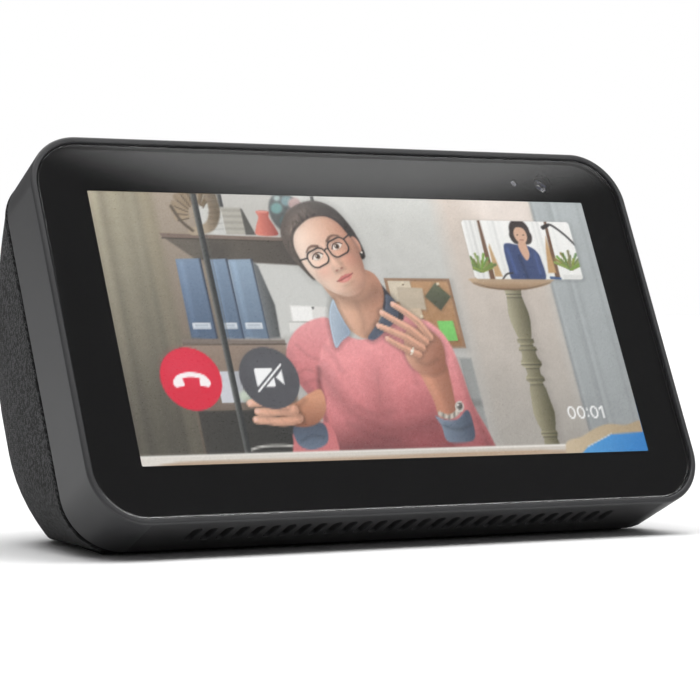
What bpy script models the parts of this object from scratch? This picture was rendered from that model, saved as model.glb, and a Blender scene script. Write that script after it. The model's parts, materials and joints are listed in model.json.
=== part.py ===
"""A desk smart display: a leaning screen in a slotted frame, with a fabric covered body behind it.

The front pieces are modelled upright, in a frame whose X runs across, Y runs away from the viewer and
Z runs up the face. The empty "face" leans that frame back and sets it on the floor.
"""

import math

import bmesh
import bpy
from mathutils import Matrix, Vector

MM = 0.001
GAP = 0.3 * MM  # between pieces that touch

# Overall
WIDTH = 148 * MM
HEIGHT = 85 * MM
DEPTH = 73 * MM
LEAN = math.radians(25)
LIP_HEIGHT = 7.2 * MM  # floor to the face's lower edge
HALF = WIDTH / 2
REAR = DEPTH / 2

# Front frame
CORNER = 12 * MM
FRAME_DEPTH = 15.7 * MM
FRAME_TAPER = 0.6 * MM  # the sides and top draw in towards the back
FRAME_WALL = 1.8 * MM
FRAME_EDGE = 0.5 * MM
EDGE_SOFT = 0.15 * MM  # where the lip's rounding has its middle point
LIP = 1.3 * MM
LEDGE = 1.7 * MM  # carries the glass
LEDGE_THICK = 1.25 * MM
BOSS_RADIUS = 2.8 * MM
BOSS_IN = 7.4 * MM  # boss axis, in from the frame's side
BOSS_LOW = 16 * MM
BOSS_HIGH_IN = 16.3 * MM  # boss axis, down from the frame's top
WEB = 2 * MM

# Speaker slots in the underside
SLOT_COUNT = 29
SLOT_PITCH = 3.58 * MM
SLOT_WIDTH = 1.8 * MM
SLOT_LENGTH = 6.5 * MM
SLOT_DEPTH = 6.9 * MM  # middle of the row, back from the lip

# Glass and screen
GLASS_BACK = 0.35 * MM  # recess behind the lip
GLASS_THICK = 1.4 * MM
GLASS_BEVEL = 0.3 * MM
PANEL_HALF = 63.2 * MM
PANEL_LOW = 8.5 * MM
PANEL_TOP_IN = 10.3 * MM  # panel top, down from the frame's top
PANEL_THICK = 2.1 * MM
PLATE_THICK = 0.8 * MM
WINDOW = (9 * MM, 12 * MM, 6 * MM)  # the plate's opening: half width, its two edges down from the top

# Camera and its shutter
CAMERA_X = 53.2 * MM
CAMERA_TOP_IN = 7.3 * MM  # lens axis, down from the frame's top
CAMERA_HALF = 3.5 * MM
CAMERA_TALL = 5 * MM
CAMERA_LONG = 4.5 * MM
CAMERA_BEHIND = 1.05 * MM  # the module's front, behind the glass ledge's front
CAMERA_BOARD = (-10 * MM, 8 * MM)  # the board's two ends, from the lens axis
SENSOR_IN = 7.8 * MM  # light sensor, from the lens axis
SENSOR_RADIUS = 1.2 * MM
LENS_RADIUS = 1.9 * MM
SHUTTER_TRAVEL = 7.6 * MM
BLADE_WIDTH = 6.6 * MM
BLADE_THICK = 0.4 * MM
BLADE_BEHIND = 0.45 * MM  # behind the glass
ARM_TALL = 0.9 * MM
STEM_CLEAR = 0.4 * MM  # from the camera module
STEM_WIDTH = 4 * MM
STEM_THICK = 1.2 * MM
STEM_DEPTH = 6.4 * MM
THUMB = Vector((7.2, 3.6, 0.7)) * MM

# Buttons
BUTTON_PITCH = 16 * MM
BUTTON_LENGTH = 9.6 * MM
BUTTON_WIDTH = 4.4 * MM
BUTTON_PROUD = 0.6 * MM
BUTTON_FLANGE = 0.8 * MM
BUTTON_GROWTH = Vector((2, 1.4)) * MM  # the flange's length and width, past the cap's
BUTTON_SOFT = 0.3 * MM
BUTTON_BOARD = 2.4 * MM  # the board's half width
BUTTON_TRAVEL = 0.5 * MM
BUTTON_DEPTH = 7 * MM
SWITCH = Vector((3, 3, 1.4)) * MM
BOARD_THICK = 1.2 * MM
MIC_X = 34 * MM
MIC_HOLE = 0.6 * MM
MIC = Vector((4, 3, 1.2)) * MM

# Boards behind the screen
MAIN_BEHIND = 0.9 * MM  # behind the screen's back plate
MAIN_HALF = 50 * MM
MAIN_LOW = 14 * MM
MAIN_HIGH = 66 * MM
MAIN_HOLE = 1.3 * MM
HOLE_IN = 4 * MM  # the board's holes, in from its corners
SHIELDS = (("processor_shield", -14, 40, 15, 14), ("radio_shield", 22, 42, 10, 12))  # mm: x, up, halves
SHIELD_TALL = 2 * MM
SPREADER = (-32 * MM, 34 * MM, 22 * MM, 58 * MM)  # left, right, low, high
SPREADER_THICK = 0.8 * MM
ANTENNA = (28 * MM, 58 * MM)  # low and high
ANTENNA_WIDE = 6 * MM
FLEX_THICK = 0.3 * MM
DISPLAY_FLEX_HALF = 11 * MM
BUTTON_FLEX_HALF = 4 * MM

# Body behind the seam
SEAM = 0.6 * MM
BODY_START = FRAME_DEPTH + SEAM
BODY_POLE = 17 * MM  # height on the face of the rearmost swell
SIDE_POWER = 3.4
TOP_POWER = 2.0  # an ellipse, so the rear reach has a closed form
LOW_POWER = 4.5
CORNER_GROWTH = 52 * MM
FABRIC = 1.0 * MM
SHELL_WALL = 2 * MM
FLANGE_WIDE = 9.2 * MM
FLANGE_THICK = 1.6 * MM
HEM_HEIGHT = 1.1 * MM
FOOT_THICK = 0.7 * MM
FOOT_INSET = 8 * MM
BASE_THICK = 2 * MM
CHASSIS_THICK = 1.7 * MM

# Speaker
SPEAKER_RADIUS = 20.5 * MM
SPEAKER_LOW = 7.5 * MM  # the flange's lowest point, up the face
SPEAKER_RIM = 3.3 * MM  # the flange's width
SPEAKER_BEHIND = 5.4 * MM  # the box's front, behind the seam
CONE_RIM = 2.2 * MM  # the cone's edge, in from the basket's side
BOX_HALF = 34 * MM
BOX_WALL = 2.2 * MM
BOX_OVER = 2.7 * MM  # the box's top, above the speaker's flange
BASKET_LONG = 8.5 * MM
BASKET_BACK = 9.5 * MM  # radius at the basket's back
MAGNET_RADIUS = 12 * MM
MAGNET_LONG = 6 * MM
COIL_RADIUS = 6.6 * MM
LEAD_X = 44.5 * MM
LEAD_OVER = 1.5 * MM  # above the speaker's flange
SPEAKER_LEAD_RADIUS = 0.6 * MM
POWER_LEAD_RADIUS = 0.8 * MM

# Rear sockets
PORT_HALF = 17 * MM
PORT_LOW = 6.6 * MM
PORT_TALL = 10.6 * MM
PORT_RECESS = 8.1 * MM  # panel face, forward of the body's rear
PORT_WALL = 1.2 * MM
PORT_PANEL = 1.6 * MM
JACK_X = 7 * MM
JACK_BORE = 2.05 * MM
JACK_PIN = 0.8 * MM
USB = Vector((7.6, 5.6, 2.9)) * MM
SOCKET_UP = 5.4 * MM  # socket axes above the port opening's lower edge
SOCKET_HALF = 4.2 * MM
SOCKET_LONG = 8.4 * MM
JACK_NOSE = 3.3 * MM
USB_WALL = 0.4 * MM

# Screws
SCREW_RADIUS = 1.0 * MM
SCREW_HEAD = 1.9 * MM
HEAD_THICK = 1.2 * MM
SHELL_SCREW_LONG = 8 * MM
SMALL_SCREW_RADIUS = 0.6 * MM
SMALL_SCREW_HEAD = 1.1 * MM
BASE_SCREW_IN = 6 * MM  # from the speaker box's side
BASE_SCREW_ROWS = (-6 * MM, 10 * MM)

# How finely the round shapes are divided
ARC_STEPS = 7
ROUND = 32
SMALL_ROUND = 16
SCREW_ROUND = 12

# Worked out from the values above
EDGE_LOSS = EDGE_SOFT * (math.sin(LEAN) + math.cos(LEAN))  # what the lip's rounding takes off
FACE = (HEIGHT + EDGE_LOSS - LIP_HEIGHT) / math.cos(LEAN)  # length of the face along its slope
FACE_FRONT = -REAR - EDGE_LOSS
GLASS_FAR = GLASS_BACK + GLASS_THICK
LEDGE_NEAR = GLASS_FAR + GAP
LEDGE_FAR = LEDGE_NEAR + LEDGE_THICK
PANEL_FAR = LEDGE_NEAR + PANEL_THICK
PLATE_NEAR = PANEL_FAR + GAP
PLATE_FAR = PLATE_NEAR + PLATE_THICK
MAIN_NEAR = PLATE_FAR + MAIN_BEHIND
MAIN_FAR = MAIN_NEAR + BOARD_THICK
CHASSIS_FAR = BODY_START - 0.2 * MM
CHASSIS_NEAR = CHASSIS_FAR - CHASSIS_THICK
BOSS_FAR = CHASSIS_NEAR - GAP
FLANGE_NEAR = CHASSIS_FAR + GAP
FLANGE_FAR = FLANGE_NEAR + FLANGE_THICK
CAMERA_UP = FACE - CAMERA_TOP_IN
BOSS_X = HALF - BOSS_IN
BOSS_HEIGHTS = (BOSS_LOW, FACE - BOSS_HIGH_IN)
BODY_TOP = FACE - FRAME_TAPER
BODY_HALF = HALF - FRAME_TAPER
BASE_LOW = FOOT_THICK + GAP
BASE_HIGH = BASE_LOW + BASE_THICK
BOX_LOW = BASE_HIGH + GAP
SPEAKER_UP = SPEAKER_LOW + SPEAKER_RADIUS
BASKET_RADIUS = SPEAKER_RADIUS - SPEAKER_RIM
SPEAKER_SCREW_CIRCLE = BASKET_RADIUS + 2 * MM
LEAD_UP = SPEAKER_UP + SPEAKER_RADIUS + LEAD_OVER
BOX_FRONT = BODY_START + SPEAKER_BEHIND
MAGNET_NEAR = BOX_FRONT + BASKET_LONG
MAGNET_FAR = MAGNET_NEAR + MAGNET_LONG
PANEL_FACE = REAR - PORT_RECESS
PANEL_FRONT = PANEL_FACE - PORT_PANEL
BOX_BACK = PANEL_FRONT - GAP - SOCKET_LONG - 0.8 * MM


def rear_length():
    """How far the body runs back from the seam, square to the face, to reach the overall depth."""
    rise = (BODY_TOP - BODY_POLE) * math.sin(LEAN)
    reach = REAR - FACE_FRONT - BODY_POLE * math.sin(LEAN) - BODY_START * math.cos(LEAN)
    return math.sqrt(reach**2 - rise**2) / math.cos(LEAN)


BODY_LENGTH = rear_length()


def from_face(depth, height):
    """The level (y, z) of a place given by its depth and height on the leaning face."""
    y = FACE_FRONT + height * math.sin(LEAN) + depth * math.cos(LEAN)
    return y, LIP_HEIGHT + height * math.cos(LEAN) - depth * math.sin(LEAN)


BOX_TOP = from_face(BOX_FRONT, SPEAKER_UP + SPEAKER_RADIUS)[1] + BOX_OVER


# Placing and finishing


def material(name, colour, roughness, metallic=0.0):
    made = bpy.data.materials.new(name)
    made.use_nodes = True
    shader = made.node_tree.nodes["Principled BSDF"]
    shader.inputs["Base Color"].default_value = (*colour, 1)
    shader.inputs["Roughness"].default_value = roughness
    shader.inputs["Metallic"].default_value = metallic
    made.diffuse_color = (*colour, 1)
    return made


def add_object(name, work, finish, parent=None, at=(0, 0, 0)):
    """A bmesh made into an object, its round faces shaded smooth."""
    bmesh.ops.recalc_face_normals(work, faces=work.faces)
    mesh = bpy.data.meshes.new(name)
    work.to_mesh(mesh)
    work.free()
    mesh.shade_smooth()
    mesh.set_sharp_from_angle(angle=math.radians(35))
    if finish:
        mesh.materials.append(finish)
    made = bpy.data.objects.new(name, mesh)
    bpy.context.scene.collection.objects.link(made)
    made.location = at
    made.parent = parent
    return made


def combine(target, tool, operation):
    """Leaves the tool hidden and lets it cut, join or trim the target."""
    modifier = target.modifiers.new(tool.name, "BOOLEAN")
    modifier.operation = operation
    modifier.object = tool
    modifier.solver = "EXACT"
    tool.hide_render = True
    tool.display_type = "WIRE"
    return target


def cut(target, *tools):
    for tool in tools:
        combine(target, tool, "DIFFERENCE")
    return target


def join(target, *tools):
    for tool in tools:
        combine(target, tool, "UNION")
    return target


def trim(target, tool):
    return combine(target, tool, "INTERSECT")


# Shapes


def box(name, low, high, finish=None, parent=None, bevel=0.0, at=(0, 0, 0)):
    """A block between two corners, given from the object's origin."""
    work = bmesh.new()
    size = Vector(high) - Vector(low)
    middle = (Vector(high) + Vector(low)) / 2
    matrix = Matrix.Translation(middle) @ Matrix.Diagonal((*size, 1))
    bmesh.ops.create_cube(work, size=1, matrix=matrix)
    if bevel:
        bmesh.ops.bevel(
            work, geom=work.edges[:], offset=bevel, segments=2, profile=0.5, affect="EDGES"
        )
    return add_object(name, work, finish, parent, at)


def rounded(half, low, high, radius, depth, steps=ARC_STEPS):
    """The points of an upright rounded rectangle at one depth."""
    radius = min(radius, 0.98 * half, 0.49 * (high - low))
    centres = (
        (half - radius, high - radius, 0),
        (radius - half, high - radius, 1),
        (radius - half, low + radius, 2),
        (half - radius, low + radius, 3),
    )
    points = []
    for x, z, quarter in centres:
        for step in range(steps + 1):
            turn = math.pi / 2 * (quarter + step / steps)
            points.append(Vector((x + radius * math.cos(turn), depth, z + radius * math.sin(turn))))
    return points


def lofted(name, rings, finish=None, parent=None, looped=False, at=(0, 0, 0)):
    """A skin over rings of equal count, capped at both ends unless it closes on itself."""
    work = bmesh.new()
    rows = [[work.verts.new(point) for point in ring] for ring in rings]
    pairs = list(zip(rows, rows[1:]))
    if looped:
        pairs.append((rows[-1], rows[0]))
    for first, second in pairs:
        for i, corner in enumerate(first):
            j = (i + 1) % len(first)
            work.faces.new((corner, first[j], second[j], second[i]))
    if not looped:
        work.faces.new(rows[0])
        work.faces.new(rows[-1])
    return add_object(name, work, finish, parent, at)


def slab(name, half, low, high, radius, near, far, finish=None, parent=None, bevel=0.0):
    """An upright rounded plate, its front edge bevelled if asked."""
    rings = []
    if bevel:
        rings.append(rounded(half - bevel, low + bevel, high - bevel, radius - bevel, near))
    rings.append(rounded(half, low, high, radius, near + bevel))
    rings.append(rounded(half, low, high, radius, far))
    return lofted(name, rings, finish, parent)


def turned(name, profile, x, z, finish=None, parent=None, steps=ROUND, at=(0, 0, 0)):
    """A profile of (radius, depth) turned about an axis that runs away from the viewer."""
    rings = []
    for radius, depth in profile:
        turns = [2 * math.pi * step / steps for step in range(steps)]
        rings.append(
            [Vector((x + radius * math.cos(t), depth, z + radius * math.sin(t))) for t in turns]
        )
    ringed = min(radius for radius, _ in profile) > 2 * MM and len(profile) > 3
    return lofted(name, rings, finish, parent, looped=ringed, at=at)


def rod(name, radius, x, z, near, far, finish=None, parent=None, steps=SMALL_ROUND):
    return turned(name, [(radius, near), (radius, far)], x, z, finish, parent, steps)


def post(name, radius, x, y, low, high, finish=None, parent=None, steps=SMALL_ROUND, at=(0, 0, 0)):
    """A disc or pin whose axis is vertical in its own frame."""
    work = bmesh.new()
    matrix = Matrix.Translation((x, y, (low + high) / 2))
    bmesh.ops.create_cone(
        work, cap_ends=True, segments=steps, radius1=radius, radius2=radius,
        depth=high - low, matrix=matrix,
    )
    return add_object(name, work, finish, parent, at)


def pill(length, width, z, steps=6):
    """The points of a level pill outline, its ends half circles."""
    radius = width / 2
    points = []
    for side in (1, -1):
        for step in range(steps + 1):
            turn = math.pi * (step / steps - 0.5)
            x = side * (length / 2 - radius + radius * math.cos(turn))
            points.append(Vector((x, side * radius * math.sin(turn), z)))
    return points


def pill_block(name, layers, finish=None, parent=None, at=(0, 0, 0)):
    """Pill outlines stacked up: each layer is (length, width, height)."""
    return lofted(name, [pill(*layer) for layer in layers], finish, parent, at=at)


def ribbon(name, path, left, right, thick, finish, parent):
    """A flat cable: a strip of even thickness along a path of (depth, height)."""
    outline = []
    for side in (1, -1):
        for i in range(len(path))[::side]:
            before = Vector(path[max(i - 1, 0)])
            after = Vector(path[min(i + 1, len(path) - 1)])
            along = (after - before).normalized()
            across = Vector((-along.y, along.x)) * side * thick / 2
            outline.append(Vector(path[i]) + across)
    rings = [[Vector((x, p.x, p.y)) for p in outline] for x in (left, right)]
    return lofted(name, rings, finish, parent)


def lead(name, points, radius, finish, parent):
    """A round wire on a smooth curve through its points."""
    curve = bpy.data.curves.new(name, "CURVE")
    curve.dimensions = "3D"
    curve.bevel_depth = radius
    curve.bevel_resolution = 1
    curve.resolution_u = 3
    curve.use_fill_caps = True
    spline = curve.splines.new("BEZIER")
    spline.bezier_points.add(len(points) - 1)
    for knot, point in zip(spline.bezier_points, points):
        knot.co = point
        knot.handle_left_type = "AUTO"
        knot.handle_right_type = "AUTO"
    curve.materials.append(finish)
    made = bpy.data.objects.new(name, curve)
    bpy.context.scene.collection.objects.link(made)
    made.parent = parent
    return made


def screw(name, x, z, head_near, length, radius, head, finish, parent):
    """A screw driven towards the viewer: its head is at the back."""
    profile = [
        (radius, head_near - length),
        (radius, head_near),
        (head, head_near),
        (head, head_near + HEAD_THICK),
    ]
    rings = [
        [Vector((x + r * math.cos(t), y, z + r * math.sin(t)))
         for t in (2 * math.pi * step / SCREW_ROUND for step in range(SCREW_ROUND))]
        for r, y in profile
    ]
    return lofted(name, rings, finish, parent)


# The body's form


def softer_least(first, second, power=4):
    """The smaller of two sizes, passing smoothly from one to the other where they are alike."""
    return (first**-power + second**-power) ** (-1 / power)


def body_ring(part, inset, low_inset):
    """The body's outline at a part of the way back, drawn in by an inset."""
    half = BODY_HALF * (1 - part**SIDE_POWER) ** (1 / SIDE_POWER)
    high = BODY_POLE + (BODY_TOP - BODY_POLE) * (1 - part**TOP_POWER) ** (1 / TOP_POWER)
    low = BODY_POLE * (1 - (1 - part**LOW_POWER) ** (1 / LOW_POWER))
    scale = 1 - inset / BODY_HALF
    radius = softer_least(CORNER + CORNER_GROWTH * part, (high - low) / 2) * scale
    depth = BODY_START + (BODY_LENGTH - inset) * part
    high_in = high - inset * (high - BODY_POLE) / (BODY_TOP - BODY_POLE)
    return rounded(half * scale, low + low_inset, high_in, radius, depth)


def body_rings(inset, low_inset=None, count=12):
    """Rings from the seam to just short of the rear pole, closer together where it turns in."""
    low_inset = inset if low_inset is None else low_inset
    parts = [0.995 * math.sin(math.pi / 2 * i / (count - 1)) for i in range(count)]
    return [body_ring(part, inset, low_inset) for part in parts]


def body_form(name, inset, low_inset=None, parent=None):
    return lofted(name, body_rings(inset, low_inset), None, parent)


def hood(name, outer_inset, inner_inset, front, finish, parent, flange=0.0):
    """A thin hood over the body's form, open at the seam."""
    outer = body_rings(outer_inset)
    inner = body_rings(inner_inset)
    for point in outer[0]:
        point.y = front
    rim = [inner[0]]
    for point in inner[0]:
        point.y = front
    if flange:
        inset = inner_inset + flange
        near = body_ring(0, inset, inset)
        for point in near:
            point.y = front
        back = [Vector((p.x, front + FLANGE_THICK, p.z)) for p in near]
        wall = body_ring(0, inner_inset, inner_inset)
        for point in wall:
            point.y = front + FLANGE_THICK
        rim = [near, back, wall]
        inner[1:2] = [ring for ring in inner[1:2] if ring[0].y > front + 2 * FLANGE_THICK]
    return lofted(name, outer[::-1] + rim + inner[1:], finish, parent)


def floor_cutter(name, height):
    """A block that takes away everything below one height."""
    return box(name, (-WIDTH, -DEPTH, -DEPTH), (WIDTH, DEPTH, height))


# Front frame


def frame_ring(inset, depth):
    """The frame's outline at one depth. The underside has no taper."""
    taper = FRAME_TAPER * depth / FRAME_DEPTH
    return rounded(HALF - inset - taper, inset, FACE - inset - taper, CORNER - inset, depth)


def front_frame(finish, face):
    edge = FRAME_EDGE
    soft = EDGE_SOFT
    wall = FRAME_WALL
    rings = [
        frame_ring(edge, 0),
        frame_ring(soft, soft),
        frame_ring(0, edge),
        frame_ring(0, FRAME_DEPTH - edge),
        frame_ring(edge, FRAME_DEPTH),
        frame_ring(wall, FRAME_DEPTH),
        frame_ring(wall, LEDGE_FAR),
        frame_ring(LIP + LEDGE, LEDGE_FAR),
        frame_ring(LIP + LEDGE, LEDGE_NEAR),
        frame_ring(LIP, LEDGE_NEAR),
        frame_ring(LIP, soft),
        frame_ring(LIP - soft, 0),
    ]
    frame = lofted("front_frame", rings, finish, face, looped=True)
    side = 0
    for sign in (-1, 1):
        for height in BOSS_HEIGHTS:
            side += 1
            x = sign * BOSS_X
            outer = sign * (HALF - FRAME_TAPER - FRAME_WALL / 2)
            near = LEDGE_FAR - LEDGE_THICK / 2
            web = box(
                f"web_tool_{side}",
                (min(x, outer), near, height - WEB / 2),
                (max(x, outer), BOSS_FAR - 0.5 * MM, height + WEB / 2),
                parent=face,
            )
            boss = rod(f"boss_tool_{side}", BOSS_RADIUS, x, height, LEDGE_FAR, BOSS_FAR, parent=face)
            pilot = rod(
                f"pilot_tool_{side}", SCREW_RADIUS + GAP, x, height,
                LEDGE_FAR + 2 * MM, BOSS_FAR + 1 * MM, parent=face, steps=12,
            )
            join(frame, web, boss)
            cut(frame, pilot)
    return cut(frame, slot_row(face), *top_cutters(face))


def slot_row(face):
    """One tool holding every speaker slot, each a rounded slot through the underside."""
    work = bmesh.new()
    low, high = -1 * MM, FRAME_WALL + 1 * MM
    for number in range(SLOT_COUNT):
        x = (number - (SLOT_COUNT - 1) / 2) * SLOT_PITCH
        rows = []
        for z in (low, high):
            outline = pill(SLOT_LENGTH, SLOT_WIDTH, z, steps=4)
            rows.append([work.verts.new((x - p.y, SLOT_DEPTH + p.x, z)) for p in outline])
        for i, corner in enumerate(rows[0]):
            j = (i + 1) % len(rows[0])
            work.faces.new((corner, rows[0][j], rows[1][j], rows[1][i]))
        for row in rows:
            work.faces.new(row)
    return add_object("slot_tool", work, None, face)


def button_places():
    names = ("mic_button", "volume_down_button", "volume_up_button")
    return [(name, (i - 1) * BUTTON_PITCH) for i, name in enumerate(names)]


def top_at(depth):
    """Height of the frame's outer top surface at one depth."""
    return FACE - FRAME_TAPER * depth / FRAME_DEPTH


def top_cutters(face):
    """Openings in the frame's top for the buttons, the shutter's stem and the microphones."""
    low, high = FACE - 2 * FRAME_WALL, FACE + FRAME_WALL
    tools = []
    for name, x in button_places():
        layers = [
            (BUTTON_LENGTH + 2 * GAP, BUTTON_WIDTH + 2 * GAP, low),
            (BUTTON_LENGTH + 2 * GAP, BUTTON_WIDTH + 2 * GAP, high),
        ]
        tools.append(pill_block(f"{name}_tool", layers, parent=face, at=(x, BUTTON_DEPTH, 0)))
    stem_low, stem_high = stem_span()
    tools.append(
        box(
            "shutter_slot_tool",
            (stem_low - SHUTTER_TRAVEL - GAP, STEM_DEPTH - STEM_THICK / 2 - GAP, low),
            (stem_high + GAP, STEM_DEPTH + STEM_THICK / 2 + GAP, high),
            parent=face,
        )
    )
    for sign in (-1, 1):
        tools.append(
            post(f"mic_hole_tool_{sign}", MIC_HOLE, sign * MIC_X, BUTTON_DEPTH, low, high,
                 parent=face, steps=12)
        )
    return tools


# Glass, screen and camera


def glass_and_screen(mats, face):
    inset = LIP + GAP
    slab("cover_glass", HALF - inset, inset, FACE - inset, CORNER - inset, GLASS_BACK, GLASS_FAR,
         mats["glass"], face, GLASS_BEVEL)
    slab("display_panel", PANEL_HALF, PANEL_LOW, FACE - PANEL_TOP_IN, 1 * MM, LEDGE_NEAR,
         PANEL_FAR, mats["screen"], face)
    plate = slab("display_back_plate", PANEL_HALF, PANEL_LOW, FACE - PANEL_TOP_IN, 2 * MM,
                 PLATE_NEAR, PLATE_FAR, mats["steel"], face)
    half, low_in, high_in = WINDOW
    top = FACE - PANEL_TOP_IN
    window = slab("plate_window_tool", half, top - low_in, top - high_in, 1 * MM,
                  PLATE_NEAR - MM, PLATE_FAR + MM, parent=face)
    cut(plate, window)
    path = [
        (LEDGE_NEAR + 1 * MM, PANEL_LOW - GAP),
        (LEDGE_NEAR + 1 * MM, PANEL_LOW - 1.4 * MM),
        (LEDGE_NEAR + 2 * MM, PANEL_LOW - 2.4 * MM),
        (MAIN_NEAR, PANEL_LOW - 2.4 * MM),
        (MAIN_NEAR + BOARD_THICK / 2, PANEL_LOW - 1.4 * MM),
        (MAIN_NEAR + BOARD_THICK / 2, MAIN_LOW - GAP),
    ]
    half = DISPLAY_FLEX_HALF
    ribbon("display_flex", path, -half, half, FLEX_THICK, mats["flex"], face)


def stem_span():
    """The shutter stem's two sides at rest, with the lens open."""
    low = CAMERA_X + CAMERA_HALF + STEM_CLEAR
    return low, low + STEM_WIDTH


def camera(mats, face):
    near = LEDGE_NEAR + CAMERA_BEHIND
    far = near + CAMERA_LONG
    low, high = CAMERA_UP - CAMERA_TALL / 2, CAMERA_UP + CAMERA_TALL / 2
    body = box("camera_module", (CAMERA_X - CAMERA_HALF, near, low),
               (CAMERA_X + CAMERA_HALF, far, high), mats["black"], face, bevel=0.3 * MM)
    recess = rod("lens_recess_tool", LENS_RADIUS + GAP, CAMERA_X, CAMERA_UP, near - MM,
                 near + 1 * MM, parent=face, steps=24)
    cut(body, recess)
    dome = [(LENS_RADIUS * math.cos(a), near + 0.4 * MM - 0.4 * MM * math.sin(a))
            for a in (math.pi / 2 * k / 6 for k in range(6))]
    profile = [(LENS_RADIUS, near + 0.7 * MM), *dome]
    turned("camera_lens", profile, CAMERA_X, CAMERA_UP, mats["lens"], face, steps=24)
    board_near = far + GAP
    box("camera_board", (CAMERA_X + CAMERA_BOARD[0], board_near, low),
        (CAMERA_X + CAMERA_BOARD[1], board_near + BOARD_THICK, high), mats["board"], face)
    rod("light_sensor", SENSOR_RADIUS, CAMERA_X - SENSOR_IN, CAMERA_UP, LEDGE_NEAR, far,
        mats["lens"], face)


def shutter(mats, face):
    """Blade, arm, stem and thumb tab in one piece. Its origin is on its sliding line."""
    stem_low, stem_high = stem_span()
    origin = Vector(((stem_low + stem_high) / 2, STEM_DEPTH, FACE))
    blade_near = GLASS_FAR + BLADE_BEHIND
    arm_low = CAMERA_UP + CAMERA_TALL / 2 + GAP
    arm_high = arm_low + ARM_TALL
    half = STEM_WIDTH / 2
    thumb_low = GAP
    back = STEM_THICK / 2
    blade = box(
        "camera_shutter",
        (-half, blade_near - STEM_DEPTH, CAMERA_UP - CAMERA_TALL / 2 - FACE),
        (BLADE_WIDTH - half, blade_near + BLADE_THICK - STEM_DEPTH, arm_high - FACE),
        mats["frame"], face, at=origin,
    )
    arm = box("shutter_arm_tool", (-half, blade_near - STEM_DEPTH + 0.1 * MM, arm_low - FACE),
              (half, back, arm_high - FACE), parent=face, at=origin)
    stem = box("shutter_stem_tool", (-half, -back, arm_low - FACE + 0.1 * MM),
               (half, back, thumb_low + THUMB.z / 2), parent=face, at=origin)
    thumb = box("shutter_thumb_tool", (-THUMB.x / 2, -THUMB.y / 2, thumb_low),
                (THUMB.x / 2, THUMB.y / 2, thumb_low + THUMB.z), parent=face, bevel=0.2 * MM,
                at=origin)
    return join(blade, arm, stem, thumb)


# Buttons, switches and microphones


def buttons(mats, face):
    """Each button's origin is in the middle of its cap's top. It presses along its own -Z."""
    top = top_at(BUTTON_DEPTH)
    flange_high = top - FRAME_WALL - 2 * GAP
    flange_low = flange_high - BUTTON_FLANGE
    for name, x in button_places():
        proud = top + BUTTON_PROUD
        length, width, soft = BUTTON_LENGTH, BUTTON_WIDTH, BUTTON_SOFT
        layers = [
            (length + BUTTON_GROWTH.x, width + BUTTON_GROWTH.y, flange_low - proud),
            (length + BUTTON_GROWTH.x, width + BUTTON_GROWTH.y, flange_high - proud),
            (length, width, flange_high - proud),
            (length, width, -soft),
            (length - 2 * soft, width - 2 * soft, 0),
        ]
        pill_block(name, layers, mats["frame"], face, at=(x, BUTTON_DEPTH, proud))
        high = flange_low - BUTTON_TRAVEL - GAP
        low = high - SWITCH.z
        switch = name.replace("button", "switch")
        box(switch, (x - SWITCH.x / 2, BUTTON_DEPTH - SWITCH.y / 2, low),
            (x + SWITCH.x / 2, BUTTON_DEPTH + SWITCH.y / 2, high), mats["steel"], face)
    board_high = low - GAP
    reach = BUTTON_PITCH + BUTTON_LENGTH / 2 + 2 * MM
    box("button_board", (-reach, BUTTON_DEPTH - BUTTON_BOARD, board_high - BOARD_THICK),
        (reach, BUTTON_DEPTH + BUTTON_BOARD, board_high), mats["board"], face)
    flex_depth = (PLATE_FAR + MAIN_NEAR) / 2
    flex_high = board_high - BOARD_THICK - GAP
    path = [
        (flex_depth, MAIN_HIGH - 6 * MM),
        (flex_depth, MAIN_HIGH + 3 * MM),
        (flex_depth + 1.2 * MM, MAIN_HIGH + 7 * MM),
        (flex_depth + 1.2 * MM, flex_high),
    ]
    half = BUTTON_FLEX_HALF
    ribbon("button_flex", path, -half, half, FLEX_THICK, mats["flex"], face)
    mic_high = top - FRAME_WALL - 2 * GAP
    for name, sign in (("microphone_left", -1), ("microphone_right", 1)):
        x = sign * MIC_X
        box(name, (x - MIC.x / 2, BUTTON_DEPTH - MIC.y / 2, mic_high - MIC.z),
            (x + MIC.x / 2, BUTTON_DEPTH + MIC.y / 2, mic_high), mats["steel"], face)


# Boards behind the screen


def boards(mats, face):
    main = slab("main_board", MAIN_HALF, MAIN_LOW, MAIN_HIGH, 2 * MM, MAIN_NEAR, MAIN_FAR,
                mats["board"], face)
    holes = [(sign * (MAIN_HALF - HOLE_IN), z) for z in (MAIN_LOW + HOLE_IN, MAIN_HIGH - HOLE_IN)
             for sign in (-1, 1)]
    for number, (x, z) in enumerate(holes):
        cut(main, rod(f"board_hole_tool_{number}", MAIN_HOLE, x, z, MAIN_NEAR - MM,
                      MAIN_FAR + MM, parent=face, steps=12))
    near, far = MAIN_FAR + GAP, MAIN_FAR + GAP + SHIELD_TALL
    for name, x, z, across, up in SHIELDS:
        box(name, ((x - across) * MM, near, (z - up) * MM), ((x + across) * MM, far, (z + up) * MM),
            mats["steel"], face, bevel=0.3 * MM)
    left, right, low, high = SPREADER
    box("heat_spreader", (left, far + GAP, low), (right, far + GAP + SPREADER_THICK, high),
        mats["aluminium"], face)
    for name, sign in (("wifi_antenna_left", -1), ("wifi_antenna_right", 1)):
        outer = sign * (HALF - FRAME_TAPER - FRAME_WALL - GAP)
        inner = outer - sign * FLEX_THICK
        near = LEDGE_FAR + 1 * MM
        box(name, (min(outer, inner), near, ANTENNA[0]),
            (max(outer, inner), near + ANTENNA_WIDE, ANTENNA[1]), mats["flex"], face)


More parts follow.
